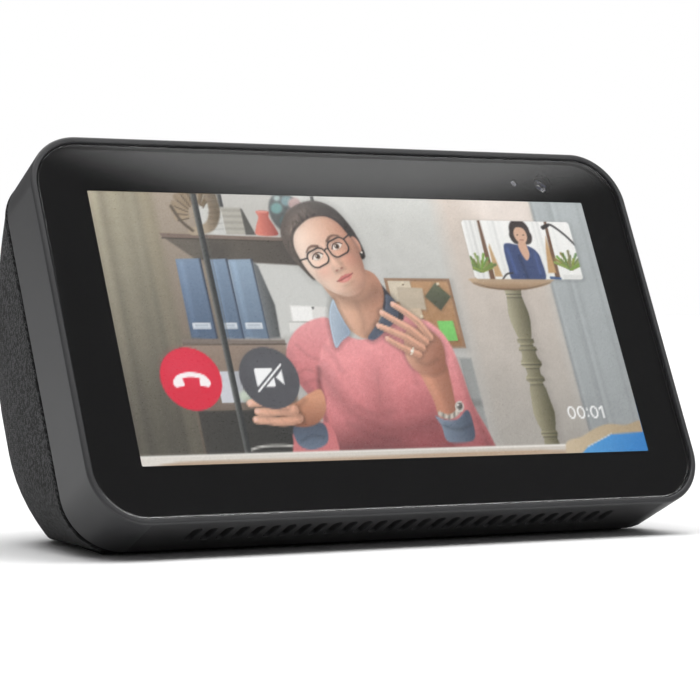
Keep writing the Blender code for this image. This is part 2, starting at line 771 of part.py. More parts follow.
def chassis(mats, face):
    inset = FRAME_WALL + GAP + FRAME_TAPER
    plate = slab("chassis", HALF - inset, FRAME_WALL + GAP, FACE - inset,
                 CORNER - FRAME_WALL - GAP, CHASSIS_NEAR, CHASSIS_FAR, mats["black"], face)
    near, far = CHASSIS_NEAR - MM, CHASSIS_FAR + MM
    tools = [
        rod("chassis_speaker_tool", BASKET_RADIUS + 1.5 * MM, 0, SPEAKER_UP, near, far,
            parent=face, steps=ROUND),
        box("chassis_lead_tool", (LEAD_X - 4 * MM, near, LEAD_UP - 5 * MM),
            (LEAD_X + 4 * MM, far, LEAD_UP + 5 * MM), parent=face),
    ]
    for number, (x, z) in enumerate(boss_places()):
        tools.append(rod(f"chassis_hole_tool_{number}", SCREW_RADIUS + GAP, x, z, near, far,
                         parent=face, steps=12))
    return cut(plate, *tools)


def boss_places():
    return [(sign * BOSS_X, height) for sign in (-1, 1) for height in BOSS_HEIGHTS]


# Dust mesh, shell, fabric, base


def slot_mesh(mats, face):
    low = FRAME_WALL + GAP
    reach = (SLOT_COUNT * SLOT_PITCH) / 2 + 1 * MM
    half = SLOT_LENGTH / 2
    box("slot_mesh", (-reach, SLOT_DEPTH - half - 0.1 * MM, low),
        (reach, SLOT_DEPTH + half + 0.6 * MM, low + 0.3 * MM), mats["black"], face)


def port_block(name, grow, front, parent=None):
    """A rounded block through the body's rear, where the sockets are reached."""
    low, high = PORT_LOW - grow, PORT_LOW + PORT_TALL + grow
    return slab(name, PORT_HALF + grow, low, high, 2.5 * MM + grow, front, REAR + 10 * MM,
                parent=parent)


def shell_and_fabric(mats, face):
    sleeve = hood("fabric_sleeve", 0, FABRIC, BODY_START, mats["fabric"], face)
    shell = hood("rear_shell", FABRIC + GAP, FABRIC + GAP + SHELL_WALL, FLANGE_NEAR,
                 mats["black"], face, flange=FLANGE_WIDE)
    hole = port_block("port_hole_tool", GAP, REAR - 22 * MM)
    cut(sleeve, floor_cutter("hem_tool", HEM_HEIGHT), hole)
    cut(shell, floor_cutter("shell_floor_tool", BASE_HIGH + GAP), hole)
    for number, (x, z) in enumerate(boss_places()):
        cut(shell, rod(f"shell_hole_tool_{number}", SCREW_RADIUS + GAP, x, z, FLANGE_NEAR - MM,
                       FLANGE_FAR + MM, parent=face, steps=12))
        screw(f"shell_screw_{number + 1}", x, z, FLANGE_FAR + GAP, SHELL_SCREW_LONG, SCREW_RADIUS,
              SCREW_HEAD, mats["screw"], face)


def base_screw_places():
    x = BOX_HALF - BASE_SCREW_IN
    return [(sign * x, y) for sign in (-1, 1) for y in BASE_SCREW_ROWS]


def base_and_foot(mats, face):
    inset = FABRIC + GAP
    plate = body_form("base_plate", inset, parent=face)
    plate.data.materials.append(mats["black"])
    trim(plate, box("base_level_tool", (-WIDTH, -DEPTH, BASE_LOW), (WIDTH, DEPTH, BASE_HIGH)))
    for number, (x, y) in enumerate(base_screw_places()):
        head_high = BASE_LOW + HEAD_THICK
        hole = post(f"base_hole_tool_{number}", SCREW_RADIUS + GAP, x, y, 0, BASE_HIGH + MM, steps=12)
        sink = post(f"base_sink_tool_{number}", SCREW_HEAD + GAP, x, y, 0, head_high)
        cut(plate, hole, sink)
        head_low, head_top = BASE_LOW + 0.1 * MM, head_high - 0.2 * MM
        pin_top = BOX_LOW + BOX_WALL - 0.2 * MM
        profile = [(SCREW_HEAD, head_low), (SCREW_HEAD, head_top), (SCREW_RADIUS, head_top),
                   (SCREW_RADIUS, pin_top)]
        rings = [
            [Vector((x + r * math.cos(t), y + r * math.sin(t), z))
             for t in (2 * math.pi * step / SCREW_ROUND for step in range(SCREW_ROUND))]
            for r, z in profile
        ]
        lofted(f"base_screw_{number + 1}", rings, mats["screw"])
    foot = body_form("rubber_foot", FOOT_INSET, low_inset=-FOOT_INSET, parent=face)
    foot.data.materials.append(mats["rubber"])
    front = FACE_FRONT + FRAME_DEPTH * math.cos(LEAN) + 5 * MM
    trim(foot, box("foot_level_tool", (-WIDTH, front, 0), (WIDTH, DEPTH, FOOT_THICK)))


# Speaker


def speaker_box(mats, face):
    """A hollow wedge: its front is parallel to the face and its floor is level."""
    back = BOX_BACK
    block = box("speaker_box", (-BOX_HALF, -REAR, BOX_LOW), (BOX_HALF, back, BOX_TOP),
                mats["black"], bevel=2 * MM)
    hollow = box("box_hollow_tool", (-BOX_HALF + BOX_WALL, -REAR + BOX_WALL, BOX_LOW + BOX_WALL),
                 (BOX_HALF - BOX_WALL, back - BOX_WALL, BOX_TOP - BOX_WALL))
    trim_front = box("box_front_tool", (-WIDTH, -DEPTH, -DEPTH), (WIDTH, BOX_FRONT, 2 * DEPTH),
                     parent=face)
    hollow_front = box("box_inner_front_tool", (-WIDTH, -DEPTH, -DEPTH),
                       (WIDTH, BOX_FRONT + BOX_WALL, 2 * DEPTH), parent=face)
    cut(hollow, hollow_front)
    opening = rod("box_opening_tool", BASKET_RADIUS + GAP, 0, SPEAKER_UP, BOX_FRONT - MM,
                  BOX_FRONT + BOX_WALL + MM, parent=face, steps=ROUND)
    pocket = rod("box_magnet_tool", MAGNET_RADIUS + GAP, 0, SPEAKER_UP, MAGNET_NEAR, MAGNET_FAR + GAP,
                 parent=face, steps=ROUND)  # in a shallow box the magnet reaches into the back wall
    cut(block, trim_front, hollow, opening, pocket)
    for number, (x, z) in enumerate(speaker_screw_places()):
        cut(block, rod(f"box_pilot_tool_{number}", SMALL_SCREW_RADIUS + GAP, x, z, BOX_FRONT - MM,
                       BOX_FRONT + BOX_WALL + MM, parent=face, steps=12))
    for number, (x, y) in enumerate(base_screw_places()):
        cut(block, post(f"box_floor_tool_{number}", SCREW_RADIUS + GAP, x, y, 0,
                        BOX_LOW + BOX_WALL + MM, steps=12))
    return block


def speaker_screw_places():
    turns = [math.pi / 4 + math.pi / 2 * k for k in range(4)]
    return [(SPEAKER_SCREW_CIRCLE * math.cos(t), SPEAKER_UP + SPEAKER_SCREW_CIRCLE * math.sin(t))
            for t in turns]


def speaker(mats, face):
    flange_far = BOX_FRONT - GAP
    flange_near = flange_far - 1.5 * MM
    basket_inner = BASKET_RADIUS - 1 * MM
    basket = turned("speaker_basket", [
        (SPEAKER_RADIUS, flange_near),
        (SPEAKER_RADIUS, flange_far),
        (BASKET_RADIUS, flange_far),
        (BASKET_RADIUS, flange_far + 1.5 * MM),
        (BASKET_BACK, flange_far + BASKET_LONG),
        (BASKET_BACK - 2 * MM, flange_far + BASKET_LONG),
        (BASKET_BACK - 2 * MM, flange_far + BASKET_LONG - 1 * MM),
        (basket_inner, flange_far + 0.8 * MM),
        (basket_inner, flange_near),
    ], 0, SPEAKER_UP, mats["steel"], face)
    turned("speaker_magnet", [(MAGNET_RADIUS - 1 * MM, MAGNET_NEAR), (MAGNET_RADIUS, MAGNET_NEAR + 1 * MM),
                              (MAGNET_RADIUS, MAGNET_FAR)],
           0, SPEAKER_UP, mats["magnet"], face)
    surround_far = flange_near - GAP
    edge = BASKET_RADIUS - CONE_RIM
    turned("speaker_surround", [
        (edge + 2.7 * MM, surround_far),
        (edge + 2.7 * MM, surround_far - 0.4 * MM),
        (edge + 2.2 * MM, surround_far - 0.4 * MM),
        (edge + 1.3 * MM, surround_far - 1.1 * MM),
        (edge + 0.5 * MM, surround_far - 0.6 * MM),
        (edge + 0.5 * MM, surround_far - 0.2 * MM),
        (edge + 1.3 * MM, surround_far - 0.7 * MM),
        (edge + 2.0 * MM, surround_far),
    ], 0, SPEAKER_UP, mats["rubber"], face)
    cone_edge = surround_far - 0.2 * MM
    origin = Vector((0, cone_edge, SPEAKER_UP))
    turned("speaker_cone", [
        (1 * MM, 2.2 * MM),
        (5 * MM, 2.9 * MM),
        (COIL_RADIUS - 0.3 * MM, 3.6 * MM),
        (edge, -0.2 * MM),
        (edge, 0.3 * MM),
        (COIL_RADIUS, 4.2 * MM),
        (COIL_RADIUS, 6.4 * MM),
        (COIL_RADIUS - 0.7 * MM, 6.4 * MM),
        (COIL_RADIUS - 0.7 * MM, 4.4 * MM),
        (1 * MM, 3.2 * MM),
    ], 0, 0, mats["cone"], face, at=origin)
    for number, (x, z) in enumerate(speaker_screw_places()):
        shaft, head = SMALL_SCREW_RADIUS, SMALL_SCREW_HEAD
        cut(basket, rod(f"basket_hole_tool_{number}", shaft + GAP, x, z, flange_near - MM,
                        flange_far + MM, parent=face, steps=12))
        near = flange_near - GAP
        rings = [
            [Vector((x + r * math.cos(t), y, z + r * math.sin(t)))
             for t in (2 * math.pi * step / SCREW_ROUND for step in range(SCREW_ROUND))]
            for r, y in ((head, near - 0.7 * MM), (head, near), (shaft, near), (shaft, near + 3.4 * MM))
        ]
        lofted(f"speaker_screw_{number + 1}", rings, mats["screw"], face)


# Rear sockets and leads


def sockets(mats, face):
    panel_face, front = PANEL_FACE, PANEL_FRONT
    tray = port_block("port_tray", 0, front)
    tray.data.materials.append(mats["black"])
    inside = slab("port_inside_tool", PORT_HALF - PORT_WALL, PORT_LOW + PORT_WALL,
                  PORT_LOW + PORT_TALL - PORT_WALL, 2.5 * MM - PORT_WALL, panel_face,
                  REAR + 12 * MM)
    trim(tray, body_form("port_trim_tool", 0.25 * MM, low_inset=-5 * MM, parent=face))
    axis = PORT_LOW + SOCKET_UP
    nose_hole = rod("nose_hole_tool", JACK_NOSE + GAP, JACK_X, axis, front - MM, panel_face + MM,
                    steps=24)
    usb_half = USB / 2
    usb_hole = box("usb_hole_tool", (-JACK_X - usb_half.x - GAP, front - MM, axis - usb_half.z - GAP),
                   (-JACK_X + usb_half.x + GAP, panel_face + MM, axis + usb_half.z + GAP))
    cut(tray, inside, nose_hole, usb_hole)
    jack = box("power_socket",
               (JACK_X - SOCKET_HALF, front - GAP - SOCKET_LONG, axis - SOCKET_HALF),
               (JACK_X + SOCKET_HALF, front - GAP, axis + SOCKET_HALF), mats["black"], bevel=0.3 * MM)
    nose = rod("jack_nose_tool", JACK_NOSE, JACK_X, axis, front - 3 * MM, panel_face, steps=24)
    bore = turned("jack_bore_tool", [
        (JACK_BORE, front - 7 * MM),
        (JACK_BORE, panel_face + MM),
    ], JACK_X, axis, steps=24)
    pin = turned("jack_pin_tool", [
        (JACK_PIN, front - 8 * MM),
        (JACK_PIN, panel_face - 1.2 * MM),
        (JACK_PIN * 0.6, panel_face - 0.8 * MM),
    ], JACK_X, axis, steps=12)
    join(jack, nose)
    cut(jack, bore)
    join(jack, pin)
    usb = box("service_socket", (-JACK_X - usb_half.x, panel_face - USB.y, axis - usb_half.z),
              (-JACK_X + usb_half.x, panel_face, axis + usb_half.z), mats["steel"], bevel=0.4 * MM)
    wall = USB_WALL
    mouth = box("usb_mouth_tool",
                (-JACK_X - usb_half.x + wall, panel_face - USB.y + 0.8 * MM, axis - usb_half.z + wall),
                (-JACK_X + usb_half.x - wall, panel_face + MM, axis + usb_half.z - wall))
    tongue = box("usb_tongue_tool", (-JACK_X - 2 * MM, panel_face - USB.y + 0.4 * MM, axis),
                 (-JACK_X + 2 * MM, panel_face - 0.8 * MM, axis + 0.6 * MM))
    cut(usb, mouth)
    join(usb, tongue)
    board_high = axis - SOCKET_HALF - GAP
    box("port_board", (-JACK_X - 6 * MM, front - GAP - SOCKET_LONG, board_high - BOARD_THICK),
        (JACK_X + 6 * MM, front - GAP, board_high), mats["board"])


def leads(mats, face):
    up = LEAD_UP
    lead("speaker_lead", [
        (BOX_HALF - 5 * MM, BOX_FRONT - 0.9 * MM, up - 4 * MM),
        (BOX_HALF + 1 * MM, BOX_FRONT - 2.4 * MM, up - 2 * MM),
        (LEAD_X + 0.5 * MM, CHASSIS_FAR + 1.5 * MM, up + 1 * MM),
        (LEAD_X + 2 * MM, CHASSIS_NEAR - 1 * MM, up + 2 * MM),
        (LEAD_X + 2 * MM, MAIN_FAR + 0.6 * MM, up + 2 * MM),
    ], SPEAKER_LEAD_RADIUS, mats["flex"], face)
    y, z = from_face(CHASSIS_FAR, up - 2 * MM)
    rear = BOX_BACK + 2.6 * MM
    near_y, near_z = from_face(MAIN_FAR + 0.9 * MM, up - 2 * MM)
    lead("power_lead", [
        (JACK_X + 7 * MM, rear, PORT_LOW + 1 * MM),
        (JACK_X + 17 * MM, rear - 0.4 * MM, PORT_LOW + 1 * MM),
        (BOX_HALF + 1.4 * MM, BOX_BACK - 1 * MM, PORT_LOW + 3 * MM),
        (BOX_HALF + 3 * MM, BOX_BACK - 12 * MM, PORT_LOW + 12 * MM),
        (BOX_HALF + 7 * MM, y + 5 * MM, z - 8 * MM),
        (LEAD_X - 1.5 * MM, y + 1 * MM, z),
        (LEAD_X - 1.5 * MM, near_y, near_z),
    ], POWER_LEAD_RADIUS, mats["flex"], None)


def finishes():
    return {
        "frame": material("charcoal_plastic", (0.045, 0.045, 0.047), 0.42),
        "glass": material("black_glass", (0.008, 0.008, 0.009), 0.06),
        "screen": material("screen", (0.35, 0.34, 0.33), 0.3),
        "fabric": material("charcoal_knit", (0.035, 0.035, 0.037), 0.95),
        "black": material("black_plastic", (0.012, 0.012, 0.013), 0.5),
        "rubber": material("black_rubber", (0.01, 0.01, 0.01), 0.8),
        "steel": material("tinned_steel", (0.55, 0.55, 0.54), 0.35, 1.0),
        "aluminium": material("aluminium", (0.75, 0.75, 0.76), 0.3, 1.0),
        "magnet": material("ferrite", (0.05, 0.05, 0.055), 0.5, 0.6),
        "board": material("circuit_board", (0.01, 0.08, 0.035), 0.45),
        "flex": material("flat_cable", (0.02, 0.02, 0.022), 0.5),
        "lens": material("lens_glass", (0.015, 0.015, 0.03), 0.03),
        "cone": material("paper_cone", (0.03, 0.03, 0.03), 0.8),
        "screw": material("zinc_screw", (0.6, 0.6, 0.58), 0.35, 1.0),
    }


def main():
    for old in list(bpy.data.objects):
        bpy.data.objects.remove(old, do_unlink=True)
    face = bpy.data.objects.new("face", None)
    bpy.context.scene.collection.objects.link(face)
    face.location = (0, FACE_FRONT, LIP_HEIGHT)
    face.rotation_euler = (-LEAN, 0, 0)
    mats = finishes()
    front_frame(mats["frame"], face)
    glass_and_screen(mats, face)
    camera(mats, face)
    shutter(mats, face)
    buttons(mats, face)
    boards(mats, face)
    chassis(mats, face)
    slot_mesh(mats, face)
    shell_and_fabric(mats, face)
    base_and_foot(mats, face)
    speaker_box(mats, face)
    speaker(mats, face)
    sockets(mats, face)
    leads(mats, face)


main()
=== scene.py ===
import json
import math

import bmesh
import bpy
import numpy as np
from mathutils import Matrix, Vector


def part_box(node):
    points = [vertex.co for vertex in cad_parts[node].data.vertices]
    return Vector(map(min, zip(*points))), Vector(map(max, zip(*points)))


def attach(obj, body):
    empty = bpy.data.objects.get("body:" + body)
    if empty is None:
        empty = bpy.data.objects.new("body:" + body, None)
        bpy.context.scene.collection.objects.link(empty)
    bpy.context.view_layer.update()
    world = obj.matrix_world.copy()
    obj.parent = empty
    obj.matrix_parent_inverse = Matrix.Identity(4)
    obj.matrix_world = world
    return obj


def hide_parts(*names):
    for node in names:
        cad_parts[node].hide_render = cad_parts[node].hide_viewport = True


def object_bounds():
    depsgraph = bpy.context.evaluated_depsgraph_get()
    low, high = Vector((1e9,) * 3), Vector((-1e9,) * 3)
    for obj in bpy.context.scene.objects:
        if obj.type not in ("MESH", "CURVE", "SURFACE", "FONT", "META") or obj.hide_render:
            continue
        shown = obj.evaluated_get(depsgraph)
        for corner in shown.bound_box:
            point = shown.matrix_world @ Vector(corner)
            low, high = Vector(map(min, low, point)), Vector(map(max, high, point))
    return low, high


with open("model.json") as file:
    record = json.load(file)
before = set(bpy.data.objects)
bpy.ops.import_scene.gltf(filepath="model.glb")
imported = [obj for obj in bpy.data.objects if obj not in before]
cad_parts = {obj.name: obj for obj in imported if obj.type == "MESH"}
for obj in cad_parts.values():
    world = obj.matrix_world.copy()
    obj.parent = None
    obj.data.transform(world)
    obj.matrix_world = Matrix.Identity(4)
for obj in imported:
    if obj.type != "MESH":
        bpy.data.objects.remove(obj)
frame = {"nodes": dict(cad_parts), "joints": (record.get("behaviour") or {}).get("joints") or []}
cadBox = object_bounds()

mm = 0.001
nodes = frame["nodes"]
collection = bpy.context.scene.collection

# The screen's face leans back. Its pieces are made in face terms:
# x across, y back from the lip, z up the slope.
pressAxis = Vector(next(j["axis"] for j in frame["joints"] if j["name"] == "volume_up_button_press"))
lean = math.atan2(-pressAxis.y, -pressAxis.z)
leanTurn = Matrix.Rotation(-lean, 4, "X")


def leanPoints(name):
    back = leanTurn.inverted()
    return np.array([back @ v.co for v in nodes[name].data.vertices])


lipCorner = leanPoints("front_frame").min(0)
faceMatrix = leanTurn @ Matrix.Translation((0, lipCorner[1], lipCorner[2]))


def span(name):  # a node's lowest and highest corners in face terms
    points = leanPoints(name) - np.array((0, lipCorner[1], lipCorner[2]))
    return Vector(points.min(0)), Vector(points.max(0))


frameHigh = span("front_frame")[1]
halfWide = frameHigh.x
faceTall = frameHigh.z
frameDeep = frameHigh.y


# ---- building helpers

def addObject(name, mesh, matrix=None):
    made = bpy.data.objects.new(name, mesh)
    collection.objects.link(made)
    if matrix is not None:
        made.matrix_world = matrix
    return made


def finishMesh(mesh, sharp=32):
    work = bmesh.new()
    work.from_mesh(mesh)
    bmesh.ops.recalc_face_normals(work, faces=work.faces)
    work.to_mesh(mesh)
    work.free()
    mesh.shade_smooth()
    mesh.set_sharp_from_angle(angle=math.radians(sharp))
    return mesh


def meshObject(name, points, faces, matrix=None, sharp=32):
    mesh = bpy.data.meshes.new(name)
    mesh.from_pydata([tuple(p) for p in points], [], faces)
    return addObject(name, finishMesh(mesh, sharp), matrix)


# skin over rings, capped unless it closes on itself
def loft(name, rings, matrix=None, closed=False, sharp=32):
    count = len(rings[0])
    points = [p for ring in rings for p in ring]
    last = len(rings) if closed else len(rings) - 1
    faces = []
    for r in range(last):
        a, b = r * count, ((r + 1) % len(rings)) * count
        faces += [(a + i, a + (i + 1) % count, b + (i + 1) % count, b + i) for i in range(count)]
    if not closed:
        faces += [tuple(range(count)), tuple(range((len(rings) - 1) * count, len(rings) * count))]
    return meshObject(name, points, faces, matrix, sharp)


# x, z points of a rounded rectangle
def roundedOutline(half, low, high, radius, arcSteps=24, straightSteps=1):
    radius = min(radius, 0.98 * half, 0.49 * (high - low))
    centres = ((half - radius, high - radius), (radius - half, high - radius),
               (radius - half, low + radius), (half - radius, low + radius))
    points = []
    for quarter, (x, z) in enumerate(centres):
        for step in range(arcSteps + 1):
            turn = math.pi / 2 * (quarter + step / arcSteps)
            points.append((x + radius * math.cos(turn), z + radius * math.sin(turn)))
        nextX, nextZ = centres[(quarter + 1) % 4]
        turn = math.pi / 2 * (quarter + 1)
        ahead = (nextX + radius * math.cos(turn), nextZ + radius * math.sin(turn))
        here = points[-1]
        for step in range(1, straightSteps):
            part = step / straightSteps
            points.append((here[0] + (ahead[0] - here[0]) * part, here[1] + (ahead[1] - here[1]) * part))
    return points


def ringAt(outline, depth):
    return [(x, depth, z) for x, z in outline]


def pillOutline(length, width, steps=12):  # level pill, its ends half circles
    radius = width / 2
    points = []
    for side in (1, -1):
        for step in range(steps + 1):
            turn = math.pi * (step / steps - 0.5)
            points.append((side * (length / 2 - radius + radius * math.cos(turn)),
                           side * radius * math.sin(turn)))
    return points


# pill outlines stacked upwards: length, width, height
def pillStack(name, layers, centre, matrix=None, steps=12):
    rings = [[(centre[0] + x, centre[1] + y, z) for x, y in pillOutline(length, width, steps)]
             for length, width, z in layers]
    return loft(name, rings, matrix)


# (radius, distance)
def turnedPiece(name, profile, centre, axis="y", steps=64, matrix=None, closed=False, sharp=32):
    rings = []
    for radius, along in profile:
        ring = []
        for step in range(steps):
            turn = 2 * math.pi * step / steps
            a, b = radius * math.cos(turn), radius * math.sin(turn)
            offset = (a, along, b) if axis == "y" else (a, b, along)
            ring.append(tuple(c + o for c, o in zip(centre, offset)))
        rings.append(ring)
    return loft(name, rings, matrix, closed, sharp)


def block(name, low, high, bevel=0.0, matrix=None, segments=3):
    work = bmesh.new()
    size, middle = Vector(high) - Vector(low), (Vector(high) + Vector(low)) / 2
    bmesh.ops.create_cube(work, size=1, matrix=Matrix.Translation(middle) @ Matrix.Diagonal((*size, 1)))
    if bevel:
        bmesh.ops.bevel(work, geom=work.edges[:], offset=bevel, segments=segments, profile=0.5,
                        affect="EDGES")
    mesh = bpy.data.meshes.new(name)
    work.to_mesh(mesh)
    work.free()
    return addObject(name, finishMesh(mesh), matrix)


# all tools at once, then the tools are removed
def applyBooleans(target, tools, operation="DIFFERENCE", sharp=32):
    for tool in tools:
        modifier = target.modifiers.new("shape", "BOOLEAN")
        modifier.operation = operation
        modifier.solver = "EXACT"
        modifier.object = tool
    bpy.context.view_layer.update()
    graph = bpy.context.evaluated_depsgraph_get()
    mesh = bpy.data.meshes.new_from_object(target.evaluated_get(graph), depsgraph=graph)
    target.modifiers.clear()
    old = target.data
    target.data = mesh
    bpy.data.meshes.remove(old)
    mesh.name = target.name
    mesh.shade_smooth()
    mesh.set_sharp_from_angle(angle=math.radians(sharp))
    for tool in tools:
        bpy.data.objects.remove(tool)
    return target


def carve(target, *tools, sharp=32):
    return applyBooleans(target, tools, "DIFFERENCE", sharp)


def weld(target, *tools, sharp=32):
    return applyBooleans(target, tools, "UNION", sharp)


def joinLoose(target, *others):  # separate shells kept as one object
    work = bmesh.new()
    work.from_mesh(target.data)
    for other in others:
        copied = other.data.copy()
        copied.transform(target.matrix_world.inverted() @ other.matrix_world)
        work.from_mesh(copied)
        bpy.data.meshes.remove(copied)
        bpy.data.objects.remove(other)
    work.to_mesh(target.data)
    work.free()
    return target


def settle(piece, material, slotName, body, *replaced):  # finish, slot (not used), body and the CAD nodes it stands for
    piece.data.materials.clear()
    piece.data.materials.append(material)
    if replaced:
        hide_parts(*replaced)
    # roundings shade smoothly, flats stay flat
    even = piece.modifiers.new("flatsStayFlat", "WEIGHTED_NORMAL")
    even.keep_sharp = True
    even.weight = 100
    bpy.context.view_layer.update()
    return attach(piece, body)


print("helpers ready, lean", round(math.degrees(lean), 2))

# ---- materials

def newMaterial(name, **sockets):  # a Principled material, its plain values set on the sockets themselves
    made = bpy.data.materials.new(name)
    made.use_nodes = True
    shader = made.node_tree.nodes["Principled BSDF"]
    for key, value in sockets.items():
        shader.inputs[key.replace("_", " ")].default_value = value
    made.diffuse_color = (*shader.inputs["Base Color"].default_value[:3], 1)
    return made, made.node_tree, shader


def node(tree, kind, inputs=None, **settings):
    made = tree.nodes.new("ShaderNode" + kind)
    for key, value in settings.items():
        setattr(made, key, value)
    for key, value in (inputs or {}).items():
        if isinstance(value, bpy.types.NodeSocket):
            tree.links.new(value, made.inputs[key])
        else:
            made.inputs[key].default_value = value
    return made


def link(tree, source, target):
    tree.links.new(source, target)


def math2(tree, operation, first, second=0.0, third=0.0):
    return node(tree, "Math", {0: first, 1: second, 2: third}, operation=operation).outputs[0]


def placed(tree, source="Object"):
    return node(tree, "TexCoord").outputs[source]


def noise(tree, coords, scale, detail=3.0, rough=0.55):
    return node(tree, "TexNoise", {"Vector": coords, "Scale": scale, "Detail": detail,
                                   "Roughness": rough}).outputs["Fac"]


def spread(tree, value, low, high, fromLow=0.3, fromHigh=0.7):  # value stretched to a new range
    made = node(tree, "MapRange", {"Value": value, "From Min": fromLow, "From Max": fromHigh,
                                   "To Min": low, "To Max": high})
    return made.outputs["Result"]


def blendColours(tree, factor, first, second):
    made = node(tree, "Mix", {"Factor": factor}, data_type="RGBA")
    for index, value in ((6, first), (7, second)):
        if isinstance(value, bpy.types.NodeSocket):
            link(tree, value, made.inputs[index])
        else:
            made.inputs[index].default_value = (*value, 1)
    return made.outputs[2]


def raise_(tree, shader, height, distance, strength=1.0):
    bump = node(tree, "Bump", {"Height": height, "Distance": distance, "Strength": strength})
    link(tree, bump.outputs["Normal"], shader.inputs["Normal"])
    return bump


def mouldedPlastic(name, colour, roughness, grain=9000.0, grainDepth=0.01, cloud=0.12, wear=0.25, shine=0.45):
    # spark-eroded mould grain, a faint cloudiness, and edges rubbed a little lighter and glossier
    made, tree, shader = newMaterial(name, Base_Color=(*colour, 1), Roughness=roughness,
                                     Specular_IOR_Level=shine)
    coords = placed(tree)
    fine = noise(tree, coords, grain, 2.0)
    broad = noise(tree, coords, 60.0, 4.0)
    lighter = tuple(c * (1 + cloud) + 0.002 for c in colour)
    darker = tuple(c * (1 - cloud) for c in colour)
    clouded = blendColours(tree, spread(tree, broad, 0.0, 1.0), darker, lighter)
    edge = spread(tree, node(tree, "NewGeometry").outputs["Pointiness"], 0.0, 1.0, 0.52, 0.6)
    worn = math2(tree, "MULTIPLY", edge, math2(tree, "MULTIPLY", noise(tree, coords, 900.0), wear))
    rubbed = tuple(min(1.0, c * 2.2 + 0.01) for c in colour)
    link(tree, blendColours(tree, worn, clouded, rubbed), shader.inputs["Base Color"])
    uneven = math2(tree, "ADD", spread(tree, broad, roughness - 0.03, roughness + 0.03),
                   spread(tree, fine, -0.04, 0.04))
    link(tree, math2(tree, "SUBTRACT", uneven, math2(tree, "MULTIPLY", worn, 0.15)),
         shader.inputs["Roughness"])
    raise_(tree, shader, fine, grainDepth * mm)
    return made


def brushedMetal(name, colour, roughness, along=(1, 30, 30), lines=700.0, stain=0.15):
    made, tree, shader = newMaterial(name, Base_Color=(*colour, 1), Roughness=roughness, Metallic=1.0)
    coords = placed(tree)
    stretched = node(tree, "Mapping", {"Vector": coords, "Scale": along}).outputs["Vector"]
    strokes = noise(tree, stretched, lines, 4.0, 0.7)
    patches = noise(tree, coords, 120.0, 4.0)
    dull = tuple(c * (1 - stain) for c in colour)
    link(tree, blendColours(tree, spread(tree, patches, 0.0, 1.0), dull, colour), shader.inputs["Base Color"])
    link(tree, math2(tree, "ADD", spread(tree, strokes, roughness - 0.08, roughness + 0.1),
                     spread(tree, patches, -0.04, 0.04)), shader.inputs["Roughness"])
    raise_(tree, shader, strokes, 0.006 * mm)
    return made


def rubberFinish(name, colour):
    made, tree, shader = newMaterial(name, Base_Color=(*colour, 1), Roughness=0.78, IOR=1.5)
    coords = placed(tree)
    dimples = node(tree, "TexVoronoi", {"Vector": coords, "Scale": 1400.0,
                                        "Randomness": 0.35}).outputs["Distance"]
    dust = noise(tree, coords, 260.0, 6.0, 0.65)
    pale = tuple(c * 2.4 + 0.012 for c in colour)
    link(tree, blendColours(tree, spread(tree, dust, 0.0, 0.5, 0.5, 0.75), colour, pale),
         shader.inputs["Base Color"])
    link(tree, spread(tree, dust, 0.7, 0.9), shader.inputs["Roughness"])
    raise_(tree, shader, dimples, 0.05 * mm)
    return made


def circuitBoard(name, mask, copper):
    made, tree, shader = newMaterial(name, Base_Color=(*mask, 1), Roughness=0.35)
    coords = placed(tree)
    tracks = node(tree, "TexBrick", {"Vector": coords, "Scale": 420.0, "Mortar Size": 0.03,
                                     "Color1": (0, 0, 0, 1), "Color2": (0.35, 0.35, 0.35, 1),
                                     "Mortar": (1, 1, 1, 1)}).outputs["Color"]
    pads = node(tree, "TexVoronoi", {"Vector": coords, "Scale": 380.0}).outputs["Distance"]
    dots = spread(tree, pads, 1.0, 0.0, 0.12, 0.16)
    traced = blendColours(tree, math2(tree, "MULTIPLY", tracks, 0.35), mask, tuple(c * 2.2 for c in mask))
    link(tree, blendColours(tree, dots, traced, copper), shader.inputs["Base Color"])
    link(tree, math2(tree, "MULTIPLY", dots, 0.9), shader.inputs["Metallic"])
    raise_(tree, shader, math2(tree, "ADD", tracks, dots), 0.03 * mm)
    return made


def flatCable(name, colour, stripe):
    made, tree, shader = newMaterial(name, Base_Color=(*colour, 1), Roughness=0.45)
    coords = placed(tree)
    wires = node(tree, "TexWave", {"Vector": coords, "Scale": 320.0, "Distortion": 0.4}, bands_direction="X")
    link(tree, blendColours(tree, spread(tree, wires.outputs["Fac"], 0.0, 0.7, 0.55, 0.9), colour, stripe),
         shader.inputs["Base Color"])
    link(tree, spread(tree, noise(tree, coords, 900.0), 0.38, 0.52), shader.inputs["Roughness"])
    raise_(tree, shader, wires.outputs["Fac"], 0.03 * mm)
    return made


def paperCone(name, colour):
    made, tree, shader = newMaterial(name, Base_Color=(*colour, 1), Roughness=0.85)
    coords = placed(tree)
    fibres = noise(tree, node(tree, "Mapping", {"Vector": coords, "Scale": (1, 6, 1)}).outputs["Vector"],
                   1500.0, 6.0, 0.7)
    pale = tuple(c * 2.0 for c in colour)
    link(tree, blendColours(tree, spread(tree, fibres, 0.0, 1.0), colour, pale), shader.inputs["Base Color"])
    link(tree, spread(tree, fibres, 0.75, 0.92), shader.inputs["Roughness"])
    raise_(tree, shader, fibres, 0.04 * mm)
    return made


